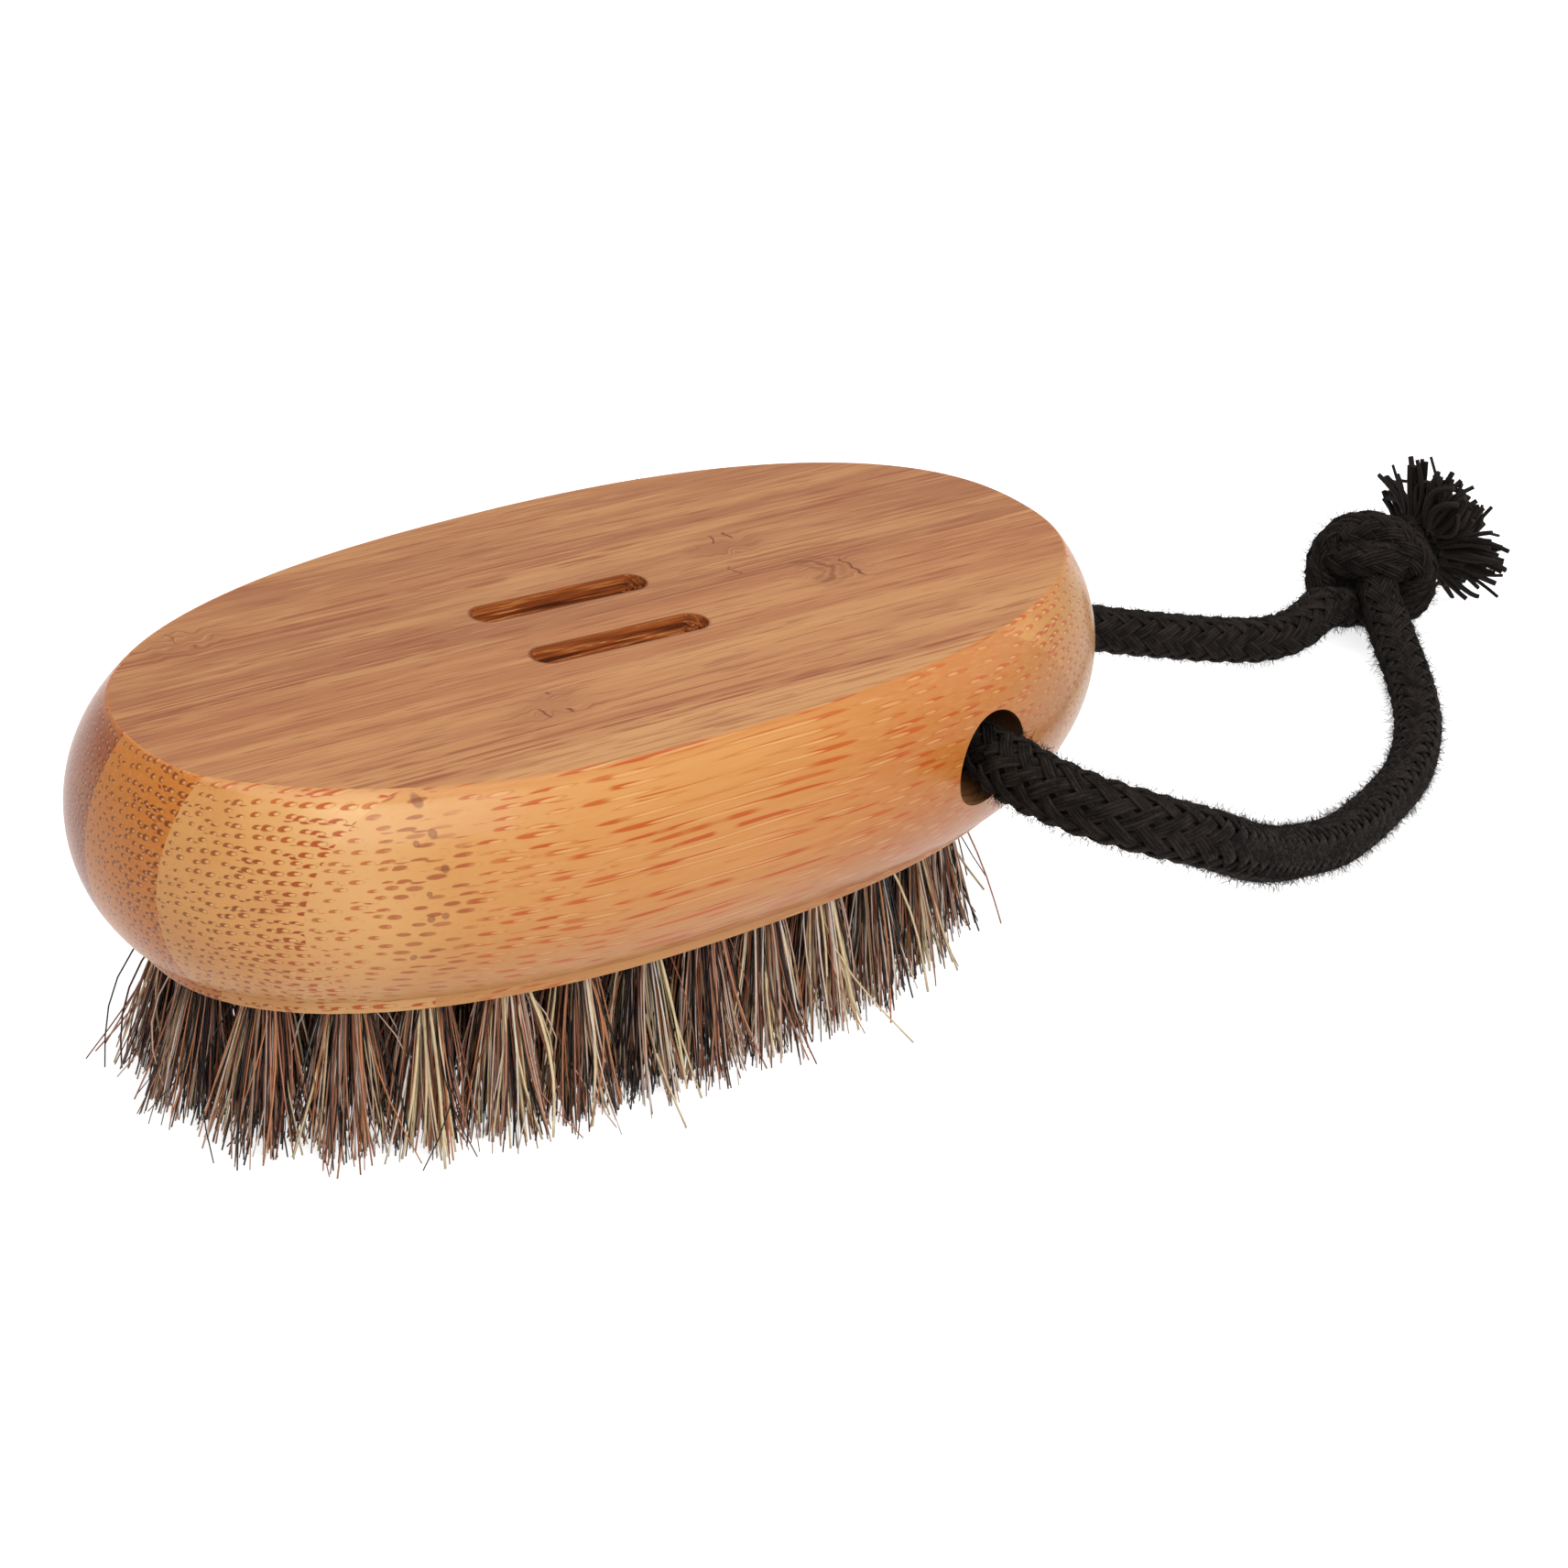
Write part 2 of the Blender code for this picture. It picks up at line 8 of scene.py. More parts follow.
import bmesh
import bpy
from mathutils import Matrix, Vector


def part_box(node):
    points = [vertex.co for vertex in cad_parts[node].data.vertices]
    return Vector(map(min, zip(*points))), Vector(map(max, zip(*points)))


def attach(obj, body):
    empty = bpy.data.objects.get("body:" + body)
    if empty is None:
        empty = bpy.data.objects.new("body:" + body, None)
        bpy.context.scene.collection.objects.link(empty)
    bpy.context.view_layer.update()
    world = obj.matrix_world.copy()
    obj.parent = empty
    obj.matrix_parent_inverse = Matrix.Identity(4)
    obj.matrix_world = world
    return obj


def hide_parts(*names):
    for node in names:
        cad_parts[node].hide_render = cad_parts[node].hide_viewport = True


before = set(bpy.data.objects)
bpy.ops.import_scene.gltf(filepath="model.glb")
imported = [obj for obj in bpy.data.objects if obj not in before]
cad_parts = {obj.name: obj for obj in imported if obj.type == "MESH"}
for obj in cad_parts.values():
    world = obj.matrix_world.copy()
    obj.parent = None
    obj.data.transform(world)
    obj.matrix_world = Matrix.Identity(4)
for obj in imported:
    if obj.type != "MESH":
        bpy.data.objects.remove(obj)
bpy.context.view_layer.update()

MM = 0.001
PER_MM = 1 / MM
FULL_TURN = 2 * math.pi
GOLDEN_ANGLE = math.pi * (3 - math.sqrt(5))
BRUSH_BODY = "brush"
LOOP_BODY = "cord_loop"

log = logging.getLogger("nail_brush")

Tone = tuple[int, int, int]
Places = list[Vector]


def tint(tone: Tone) -> tuple[float, float, float, float]:
    """Linear colour of a tone.

    Args:
        tone: Red, green and blue from 0 to 255, as a screen shows them.

    Returns:
        Red, green, blue and an alpha of one, in linear light.
    """
    linear = []
    for value in tone:
        share = value / 255
        linear.append(share / 12.92 if share <= 0.04045 else ((share + 0.055) / 1.055) ** 2.4)
    return (*linear, 1.0)


@dataclass(frozen=True, eq=False)
class Wire:
    """One output of a node. Arithmetic on wires adds the nodes that work it out."""

    graph: "Graph"
    socket: bpy.types.NodeSocket

    @property
    def is_vector(self) -> bool:
        """Whether it carries a vector or a colour instead of a number."""
        return self.socket.type in ("VECTOR", "RGBA")

    def math(self, operation: str, *others: "Wire | float", clamp: bool = False) -> "Wire":
        """Result of a Math node on this number and up to two others."""
        feeds = dict(enumerate((self, *others)))
        return self.graph.get("ShaderNodeMath", feeds, operation=operation, use_clamp=clamp)

    def __add__(self, other: "Wire | float | Vector") -> "Wire":
        """Sum of two numbers or two vectors."""
        return self.graph.vector("ADD", self, other) if self.is_vector else self.math("ADD", other)

    def __sub__(self, other: "Wire | float | Vector") -> "Wire":
        """Difference of two numbers or two vectors."""
        if self.is_vector:
            return self.graph.vector("SUBTRACT", self, other)
        return self.math("SUBTRACT", other)

    def __rsub__(self, other: float) -> "Wire":
        """A plain number less this one."""
        return self.math("MULTIPLY_ADD", -1.0, other)

    def __mul__(self, other: "Wire | float") -> "Wire":
        """Product of two numbers, or a vector drawn out by a number."""
        if self.is_vector:
            return self.graph.vector("SCALE", self, scale=other)
        return self.math("MULTIPLY", other)

    def __truediv__(self, other: "Wire | float") -> "Wire":
        """Quotient of two numbers."""
        return self.math("DIVIDE", other)

    def __pow__(self, other: float) -> "Wire":
        """Power of a number."""
        return self.math("POWER", other)

    def __abs__(self) -> "Wire":
        """Size of a number, or length of a vector."""
        return self.graph.vector("LENGTH", self) if self.is_vector else self.math("ABSOLUTE")

    def __lt__(self, other: float) -> "Wire":
        """One where this is the lesser, and zero elsewhere."""
        return self.math("LESS_THAN", other)

    def __gt__(self, other: float) -> "Wire":
        """One where this is the greater, and zero elsewhere."""
        return self.math("GREATER_THAN", other)

    def clamped(self) -> "Wire":
        """This number, held between zero and one."""
        return self.math("ADD", 0.0, clamp=True)

    def fade(self, low: float, high: float, start: float = 0.0, end: float = 1.0,
             smooth: bool = True) -> "Wire":
        """This number carried from one range to another, with soft ends where asked.

        Args:
            low: Value that gives the start.
            high: Value that gives the end.
            start: Result up to the low value.
            end: Result from the high value on.
            smooth: Whether the ends are soft.

        Returns:
            The new number.
        """
        kind = "SMOOTHSTEP" if smooth else "LINEAR"
        feeds = {0: self, 1: low, 2: high, 3: start, 4: end}
        return self.graph.get("ShaderNodeMapRange", feeds, interpolation_type=kind)

    def parts(self) -> list["Wire"]:
        """The three numbers of a vector."""
        node = self.graph.add("ShaderNodeSeparateXYZ", {0: self})
        return [Wire(self.graph, output) for output in node.outputs]


def greatest(marks: list[Wire]) -> Wire:
    """Greatest of several numbers.

    Args:
        marks: The numbers.

    Returns:
        The greatest.
    """
    most = marks[0]
    for mark in marks[1:]:
        most = most.math("MAXIMUM", mark)
    return most


class Blend(Enum):
    """How a tone meets the colour under it."""

    LAY = "MIX"
    DYE = "MULTIPLY"


@dataclass(frozen=True)
class Layer:
    """Tone over a colour, by a share of a named value.

    With a start and a full, the share grows as the value goes from one to the other.
    """

    value: str
    share: float
    tone: Tone
    start: float | None = None
    full: float | None = None
    blend: Blend = Blend.LAY
    on_front: bool = False


class Graph:
    """Short-hand for adding and joining the nodes of one tree."""

    def __init__(self, tree: bpy.types.NodeTree) -> None:
        """Keep the tree that the nodes go into."""
        self.tree = tree

    def add(self, kind: str, feeds: dict | None = None,
            **settings: object) -> bpy.types.Node:
        """Add a node.

        Args:
            kind: The node's type name.
            feeds: Wires or values for its inputs, by name or number.
            settings: Properties of the node itself.

        Returns:
            The new node.
        """
        node = self.tree.nodes.new(kind)
        for name, value in settings.items():
            setattr(node, name, value)
        self.fill(node, feeds or {})
        return node

    def fill(self, node: bpy.types.Node, feeds: dict) -> None:
        """Link wires to a node's inputs, or set the inputs' own values.

        Args:
            node: The node.
            feeds: Wires or values for its inputs, by name or number.
        """
        for key, value in feeds.items():
            if isinstance(value, Wire):
                self.tree.links.new(value.socket, node.inputs[key])
            else:
                node.inputs[key].default_value = value

    def out(self, node: bpy.types.Node, output: str | int = 0) -> Wire:
        """One output of a node."""
        return Wire(self, node.outputs[output])

    def get(self, kind: str, feeds: dict | None = None, output: str | int = 0,
            **settings: object) -> Wire:
        """One output of a node that is added for it."""
        return self.out(self.add(kind, feeds, **settings), output)

    def vector(self, operation: str, *values: Wire | Vector,
               scale: Wire | float | None = None) -> Wire:
        """Result of a Vector Math node, a number where the operation gives one.

        Args:
            operation: What the node does.
            values: Its vectors.
            scale: Its scale, if any.

        Returns:
            The result.
        """
        feeds = dict(enumerate(values))
        if scale is not None:
            feeds["Scale"] = scale
        output = "Value" if operation in ("LENGTH", "DOT_PRODUCT") else "Vector"
        return self.get("ShaderNodeVectorMath", feeds, output, operation=operation)

    def combine(self, x: Wire | float = 0.0, y: Wire | float = 0.0,
                z: Wire | float = 0.0) -> Wire:
        """Vector of three numbers."""
        return self.get("ShaderNodeCombineXYZ", {0: x, 1: y, 2: z})

    def noise(self, vector: Wire, scale: float = 1.0, detail: float = 1.0,
              roughness: float = 0.5, output: str = "Fac") -> Wire:
        """Noise in three dimensions."""
        feeds = {"Vector": vector, "Scale": scale, "Detail": detail, "Roughness": roughness}
        return self.get("ShaderNodeTexNoise", feeds, output)

    def cells(self, vector: Wire, scale: float, randomness: float) -> tuple[Wire, Wire]:
        """Middle and chance colour of the flat Voronoi cell that a place lies in.

        Args:
            vector: The place.
            scale: How many cells there are to one unit.
            randomness: How far they stray from a square lattice.

        Returns:
            The middle and the colour.
        """
        feeds = {"Vector": vector, "Scale": scale, "Randomness": randomness}
        node = self.add("ShaderNodeTexVoronoi", feeds, voronoi_dimensions="2D")
        return self.out(node, "Position"), self.out(node, "Color")

    def mix(self, share: Wire, low: Wire | Tone, high: Wire | Tone,
            blend: Blend = Blend.LAY) -> Wire:
        """Blend of two colours, each a wire or a tone.

        Args:
            share: Share of the second.
            low: First colour.
            high: Second colour.
            blend: How the second meets the first.

        Returns:
            The blend.
        """
        low, high = (side if isinstance(side, Wire) else tint(side) for side in (low, high))
        feeds = {0: share, 6: low, 7: high}
        return self.get("ShaderNodeMix", feeds, 2, data_type="RGBA", blend_type=blend.value)

    def ramp(self, value: Wire, stops: tuple[tuple[float, Tone], ...],
             interpolation: str = "LINEAR") -> Wire:
        """Colour looked up along a row of stops.

        Args:
            value: Where to look, from zero to one.
            stops: Each stop's place and tone.
            interpolation: How the colour goes from stop to stop.

        Returns:
            The colour.
        """
        node = self.add("ShaderNodeValToRGB", {0: value})
        band = node.color_ramp
        band.interpolation = interpolation
        while len(band.elements) < len(stops):
            band.elements.new(1.0)
        for element, (place, tone) in zip(band.elements, stops):
            element.position = place
            element.color = tint(tone)
        return self.out(node)

    def paint(self, colour: Wire, layers: tuple[Layer, ...], values: dict[str, Wire]) -> Wire:
        """Put layers over a colour, one after another.

        Args:
            colour: The colour under all of them.
            layers: The layers, the lowest first.
            values: The values that the layers name, and front for those on the front only.

        Returns:
            The colour with every layer on it.
        """
        for layer in layers:
            value = values[layer.value]
            if layer.full is None:
                share = value * layer.share
            else:
                share = value.fade(layer.start, layer.full, 0.0, layer.share)
            if layer.on_front:
                share = share * values["front"]
            colour = self.mix(share, colour, layer.tone, layer.blend)
        return colour

    def bump(self, lift: Wire, strength: float, height: float) -> Wire:
        """Normal of a surface raised by a pattern, at most by a height in millimetres."""
        feeds = {"Strength": strength, "Distance": height * MM, "Height": lift}
        return self.get("ShaderNodeBump", feeds)


def new_material(name: str) -> tuple[bpy.types.Material, Graph, bpy.types.Node]:
    """Material with an empty Principled shader.

    Args:
        name: The material's name.

    Returns:
        The material, a graph on its tree, and its Principled node.
    """
    material = bpy.data.materials.new(name)
    material.use_nodes = True
    graph = Graph(material.node_tree)
    return material, graph, material.node_tree.nodes["Principled BSDF"]


class BambooFace(Enum):
    """The ways in which the bamboo is finished on the block."""

    SIDE = "lacquered_bamboo"
    TOP = "sanded_bamboo_top"
    SLOT = "scorched_slot"
    UNDER = "bare_bamboo"


@dataclass(frozen=True)
class Plank:
    """Millimetres of the strips and the slots, for the block and for its pattern."""

    strip_width: float = 10.2
    strip_count: int = 6
    skew: float = math.radians(-2.5)
    slot_x: float = -2.4
    slot_y: float = 0.3
    slot_spacing: float = 9.8
    slot_length: float = 19.0
    slot_width: float = 3.4
    slot_skew: float = math.radians(-4.4)

    def slot_middles(self) -> Places:
        """Middle of each slot on the top face."""
        return [Vector((self.slot_x, self.slot_y + side * self.slot_spacing / 2))
                for side in (-1, 1)]


@dataclass(frozen=True)
class GrainPlace:
    """A point's millimetres along the grain, across it and up."""

    along: Wire
    across: Wire
    height: Wire

    @property
    def graph(self) -> Graph:
        """The graph that its wires are in."""
        return self.along.graph

    def noise(self, rates: tuple[float, float, float], detail: float = 1.0,
              roughness: float = 0.5, output: str = "Fac") -> Wire:
        """Noise with its own rate along the grain, across it and up."""
        sides = (self.along, self.across, self.height)
        vector = self.graph.combine(*(side * rate for side, rate in zip(sides, rates)))
        return self.graph.noise(vector, 1.0, detail, roughness, output)


@dataclass(frozen=True)
class Bundles:
    """Where the fibre bundles' parts show, and each bundle's chance and density."""

    cap: Wire
    vessel: Wire
    rim: Wire
    dash: Wire
    chance: Wire
    dense: Wire


@dataclass(frozen=True)
class CrossStroke:
    """One short dark line across the grain, where a bamboo joint shows on the top face.

    Its place, half length and half width are in millimetres.
    """

    x: float
    y: float
    half_length: float
    half_width: float = 0.16
    depth: float = 0.85


@dataclass(frozen=True)
class BambooFinish:
    """Side-pressed bamboo: strips of fibre bundles that run askew along the block.

    Lengths are in millimetres, because the pattern is worked out in them.
    """

    face: BambooFace
    plank: Plank = Plank()
    dense_spacing: float = 0.8
    loose_spacing: float = 1.12
    row_spacing: float = 0.86
    swerve_width: float = 6.0
    strip_shift: tuple[float, float] = (37.0, 5.37)
    bundle_half_width: float = 0.37
    bundle_half_height: float = 0.29
    cap_offset: float = 0.20
    vessel_offset: float = 0.32
    vessel_radius: float = 0.58
    cap_edge: tuple[float, float] = (0.62, 0.92)
    vessel_edge: tuple[float, float] = (0.30, 0.48)
    rim_edge: tuple[float, float] = (0.03, 0.15)
    least_size: float = 0.8
    size_range: float = 0.35
    front_size: float = 1.08
    rear_size: float = 0.82
    rise_share: float = 1.8
    dash_edge: tuple[float, float] = (0.36, 0.56)
    dash_rate: float = 0.24
    dash_slowing: float = -0.1
    dash_slow_from: float = -4.0
    dash_spread: float = 60.0
    strokes: tuple[CrossStroke, ...] = (
        CrossStroke(-17.35, -13.35, 1.0), CrossStroke(-14.75, -14.0, 0.45),
        CrossStroke(-14.6, -10.3, 0.25), CrossStroke(26.4, -3.5, 2.2, 0.15, 0.9),
        CrossStroke(18.15, 8.3, 0.9), CrossStroke(20.1, 8.35, 0.8),
        CrossStroke(15.8, 1.6, 1.05, 0.13, 0.6), CrossStroke(-38.05, 16.0, 1.2, 0.12, 0.45),
        CrossStroke(-37.0, 13.75, 0.35, 0.14, 0.5),
    )
    joints: tuple[tuple[float, float], ...] = (
        (-16.0, -12.6), (24.6, -3.2), (18.4, 6.4), (-37.6, 15.2),
    )
    joint_core: float = 0.8
    joint_reach: float = 4.2
    joint_stretch: float = 0.6
    stroke_wander: float = 1.5
    arch: tuple[float, float, float, float] = (21.8, -2.3, 2.55, 2.4)
    arch_rings: tuple[tuple[float, float], ...] = ((0.62, 0.32), (1.0, 0.56), (1.42, 0.22))
    side_joint: float = -34.6
    side_joint_edge: tuple[float, float] = (1.5, 6.5)
    front_limit: float = -10.0
    buds: tuple[tuple[float, float, float], ...] = (
        (-34.4, 39.0, 0.5), (-33.9, 36.6, 0.42), (-33.4, 33.7, 0.38), (-33.6, 29.4, 0.34),
        (-34.8, 29.2, 0.36), (-35.4, 35.9, 0.3), (-35.9, 25.2, 0.32), (-34.9, 31.6, 0.26),
    )
    side_tones: tuple[Tone, ...] = (
        (231, 169, 100), (253, 206, 140), (240, 164, 66), (182, 98, 24), (206, 136, 60),
        (220, 156, 86),
    )
    top_tones: tuple[Tone, ...] = (
        (212, 154, 100), (198, 138, 88), (184, 121, 76), (172, 112, 70), (178, 118, 74),
        (184, 124, 78),
    )
    slot_tones: tuple[tuple[float, Tone], ...] = (
        (0.36, (84, 40, 18)), (0.5, (150, 78, 36)), (0.58, (188, 106, 50)),
        (0.63, (244, 178, 104)), (0.67, (176, 96, 46)),
    )
    under_tones: tuple[tuple[float, Tone], ...] = ((0.3, (172, 112, 64)), (0.7, (206, 150, 96)))
    side_layers: tuple[Layer, ...] = (
        Layer("brown", 1.0, (236, 214, 196), blend=Blend.DYE),
        Layer("deep", 1.0, (242, 216, 188), blend=Blend.DYE),
        Layer("cloud", 0.3, (218, 148, 80), 0.4, 0.7),
        Layer("along", 0.9, (230, 196, 148), -8.0, 24.0, Blend.DYE),
        # Painted shade: the side darkens towards the left end.
        Layer("along", 0.6, (230, 196, 148), -38.0, -50.0, Blend.DYE),
        Layer("along", 0.34, (255, 204, 140), -31.0, -41.0, on_front=True),
        # Painted shade: the side turns darker and greyer towards the bottom, where it curves under.
        Layer("height", 0.6, (224, 212, 204), 30.0, 21.0, Blend.DYE),
        # Painted shade: the side darkens and greys towards the right end.
        Layer("along", 1.0, (218, 224, 192), 26.0, 46.0, Blend.DYE),
        Layer("height", 0.5, (206, 126, 58), 38.5, 39.6),
        Layer("fine", 0.22, (232, 176, 114), 0.45, 0.7),
        Layer("fine", 0.22, (196, 122, 62), 0.42, 0.28),
        Layer("vessel", 0.35, (246, 194, 130)),
    )
    top_layers: tuple[Layer, ...] = (
        Layer("broad", 0.6, (212, 156, 100), 0.45, 0.66),
        Layer("broad", 0.45, (158, 96, 62), 0.47, 0.32),
        Layer("near", 0.38, (154, 90, 56)),
        Layer("fine", 0.28, (148, 88, 56), 0.5, 0.68),
        Layer("fine", 0.26, (208, 154, 100), 0.46, 0.3),
        Layer("hair", 0.5, (148, 84, 52), 0.58, 0.64),
        Layer("hair", 0.35, (214, 162, 108), 0.40, 0.32),
        Layer("vessel", 0.6, (206, 150, 104)),
        Layer("rim", 0.6, (142, 76, 42)),
        Layer("cap", 1.0, (152, 82, 46)),
        Layer("strokes", 1.0, (112, 56, 28)),
    )
    slot_layers: tuple[Layer, ...] = (Layer("height", 0.6, (198, 112, 52), 38.2, 39.5),)
    under_layers: tuple[Layer, ...] = (
        # The height layer is painted shade: it darkens the bores, above the tuft holes.
        Layer("cap", 0.6, (142, 84, 46)), Layer("height", 0.7, (84, 44, 22), 24.4, 26.6),
    )

    def build(self) -> bpy.types.Material:
        """Make the material for this face of the block."""
        dress = {
            BambooFace.SIDE: self._dress_side, BambooFace.TOP: self._dress_top,
            BambooFace.SLOT: self._dress_slot, BambooFace.UNDER: self._dress_under,
        }[self.face]
        material, graph, shader = new_material(self.face.value)
        graph.fill(shader, dress(self._place(graph)))
        return material

    def _place(self, graph: Graph) -> GrainPlace:
        """Where a point lies in the plank, turned so that the grain runs straight along it."""
        mapped = graph.get("ShaderNodeMapping", {
            "Vector": graph.get("ShaderNodeTexCoord", output="Object"),
            "Rotation": (0.0, 0.0, -self.plank.skew), "Scale": (PER_MM, PER_MM, PER_MM),
        })
        return GrainPlace(*mapped.parts())

    def _strip(self, place: GrainPlace) -> tuple[Wire, Wire]:
        """Number of the strip that a point lies in, and how far across it the point is."""
        rank = place.across * (1 / self.plank.strip_width) + self.plank.strip_count / 2
        return rank.math("FLOOR"), rank.math("FRACT")

    def _bundles(self, place: GrainPlace, swerve_length: float = 22.0, wander: float = 0.8,
                 closed: Wire | float = 0.0) -> Bundles:
        """Fibre bundles that run the length of each strip, denser on its front side.

        Each has a dark cap at its rear and a pale vessel with a thin dark rim at its front.

        Args:
            place: Where a point lies in the plank.
            swerve_length: Length over which a bundle swerves.
            wander: How far it swerves.
            closed: One where a bundle has no vessel.

        Returns:
            The bundles' parts.
        """
        graph = place.graph
        strip, share = self._strip(place)
        rates = (1 / swerve_length, 1 / self.swerve_width, 1 / self.swerve_width)
        swerve = place.noise(rates, output="Color").parts()
        sideways = (swerve[0] - 0.5) * wander
        upwards = (swerve[1] - 0.5) * (wander * self.rise_share)
        width = self.plank.strip_width
        inner = sideways / width + share
        rate = 1 / self.dense_spacing
        fall = rate - 1 / self.loose_spacing
        row = strip * self.strip_shift[1] + (place.height + upwards) * (1 / self.row_spacing)
        column = inner * inner * (-fall / 2 * width) + inner * (rate * width)
        column = strip * self.strip_shift[0] + column
        column = row.math("FLOOR").math("PINGPONG", 1.0) * 0.5 + column
        lattice = graph.combine(column, row)
        middle, luck = graph.cells(lattice, 1.0, 0.5)
        off = (lattice - middle).parts()
        chance = luck.parts()
        size = (chance[0] * self.size_range + self.least_size) * share.fade(
            0.0, 1.0, self.front_size, self.rear_size, smooth=False)
        x = off[0] / (inner * -fall + rate) / size / self.bundle_half_width
        y = off[1] * self.row_spacing / size / self.bundle_half_height
        to_cap = abs(graph.combine(x - self.cap_offset, y))
        to_vessel = abs(graph.combine(x + self.vessel_offset, y))
        open_share = 1.0 - closed
        vessel = to_vessel.fade(*self.vessel_edge, 1.0, 0.0) * open_share
        rim = abs(to_vessel - self.vessel_radius).fade(*self.rim_edge, 1.0, 0.0) * open_share
        slow = place.along.math("MAXIMUM", self.dash_slow_from) * self.dash_slowing
        stretch = graph.combine(place.along * self.dash_rate + slow, chance[1] * self.dash_spread)
        return Bundles(
            cap=(to_cap.fade(*self.cap_edge, 1.0, 0.0) - vessel).clamped(), vessel=vessel, rim=rim,
            dash=graph.noise(stretch, 1.0, 0.0).fade(*self.dash_edge), chance=chance[1],
            dense=(1.0 - share).clamped(),
        )

    def _strip_tone(self, place: GrainPlace, tones: tuple[Tone, ...]) -> Wire:
        """Base colour of each strip."""
        strip, _ = self._strip(place)
        count = self.plank.strip_count
        stops = tuple((number / count, tone) for number, tone in enumerate(tones))
        return place.graph.ramp(strip * (1 / count) + 0.5 / count, stops, "CONSTANT")

    def _grain(self, place: GrainPlace, length: float, fineness: float,
               detail: float = 3.0) -> Wire:
        """Fine fibres as noise drawn out along the grain.

        Args:
            place: Where a point lies in the plank.
            length: How long a fibre is.
            fineness: How many fibres there are to a millimetre.
            detail: Layers of finer noise.

        Returns:
            The noise.
        """
        return place.noise((1 / length, fineness, fineness), detail, 0.6)

    def _endness(self, graph: Graph) -> Wire:
        """One where a face cuts across the grain, zero where it runs along it."""
        grain = Vector((math.cos(self.plank.skew), math.sin(self.plank.skew), 0.0))
        normal = graph.get("ShaderNodeNewGeometry", output="Normal")
        return abs(graph.vector("DOT_PRODUCT", normal, grain))

    def _dress_side(self, place: GrainPlace) -> dict:
        """Lacquered side, with end-grain dots that draw out into streaks along the flanks, and
        painted shade low on the side and at both ends.
        """
        graph = place.graph
        front = self._strip(place)[0] < 0.5
        near = abs(place.along - self.side_joint).fade(*self.side_joint_edge, 1.0, 0.0) * front
        fibre = self._bundles(place, 26.0, 0.8, near)
        endness = self._endness(graph)
        end = endness.fade(0.25, 0.9)
        fine = self._grain(place, 7.0, 3.2)
        colour = graph.paint(self._strip_tone(place, self.side_tones), self.side_layers, {
            "along": place.along, "height": place.height, "front": front, "fine": fine,
            "brown": end * (front * -0.5 + 0.6),
            "deep": fibre.dense ** 1.6 * (front * 0.7 + 0.3),
            "cloud": self._grain(place, 15.0, 0.2, 2.0), "vessel": fibre.vessel,
        })
        cap_tone = graph.mix(end, (196, 76, 12), (112, 48, 14))
        paler = graph.mix(end, (216, 118, 32), (168, 92, 38))
        cap_tone = graph.mix(fibre.chance * 0.45, cap_tone, paler)
        cap_tone = graph.mix(near, cap_tone, (170, 84, 40))
        rim_tone = graph.mix(end, (190, 96, 34), (148, 78, 36))
        strength = fibre.dense * 0.3 + 0.7
        cap = fibre.cap * fibre.dash.math("MAXIMUM", endness.fade(0.1, 0.42)) * strength
        colour = graph.mix(fibre.rim * (strength * (end * 0.25 + 0.4)), colour, rim_tone)
        colour = graph.mix(cap, colour, cap_tone)
        colour = graph.mix(self._buds(place), colour, (128, 66, 38))
        return {
            "Base Color": colour, "Roughness": 0.36, "Specular IOR Level": 0.16,
            "Coat Weight": 0.26, "Coat Roughness": 0.16,
            "Normal": graph.bump(cap * -0.5 + fine * 0.4, 0.22, 0.04),
        }

    def _buds(self, place: GrainPlace) -> Wire:
        """Small round scars on the front flank, where the outer strip has its joint."""
        marks = []
        for along, height, radius in self.buds:
            away = abs(place.graph.combine(place.along - along, 0.0, place.height - height))
            ring = abs(away - radius * 0.5)
            marks.append(ring.fade(radius * 0.2, radius * 0.7, 0.6, 0.0))
        return greatest(marks) * (place.across < self.front_limit)

    def _turned(self, x: float, y: float) -> Vector:
        """A place on the top face as places along and across the grain."""
        return Matrix.Rotation(-self.plank.skew, 2) @ Vector((x, y))

    def _near_joints(self, place: GrainPlace) -> Wire:
        """One at the bamboo's joints, fading to zero a few millimetres away."""
        marks = []
        for x, y in self.joints:
            spot = self._turned(x, y)
            along = (place.along - spot.x) * self.joint_stretch
            away = place.graph.combine(along, place.across - spot.y)
            marks.append(abs(away).fade(self.joint_core, self.joint_reach, 1.0, 0.0))
        return greatest(marks)

    def _cross_strokes(self, place: GrainPlace) -> Wire:
        """Short dark strokes and nested arches across the grain at the joints."""
        graph = place.graph
        wander = graph.noise(graph.combine(place.along * 0.5, place.across * 0.9, 3.0))
        along = place.along + (wander - 0.5) * self.stroke_wander
        marks = []
        for stroke in self.strokes:
            spot = self._turned(stroke.x, stroke.y)
            width, length = stroke.half_width, stroke.half_length
            thin = abs(along - spot.x).fade(width * 0.5, width * 1.7, stroke.depth, 0.0)
            short = abs(place.across - spot.y).fade(length * 0.75, length * 1.1, 1.0, 0.0)
            marks.append(thin * short)
        x, y, half_x, half_y = self.arch
        spot = self._turned(x, y)
        beside = (along - spot.x) / half_x
        far = abs(graph.combine(beside, (place.across - spot.y) / half_y))
        for radius, depth in self.arch_rings:
            ring = abs(far - radius).fade(0.04, 0.17, depth, 0.0)
            marks.append(ring * beside.fade(-0.4, 0.1))
        return greatest(marks)

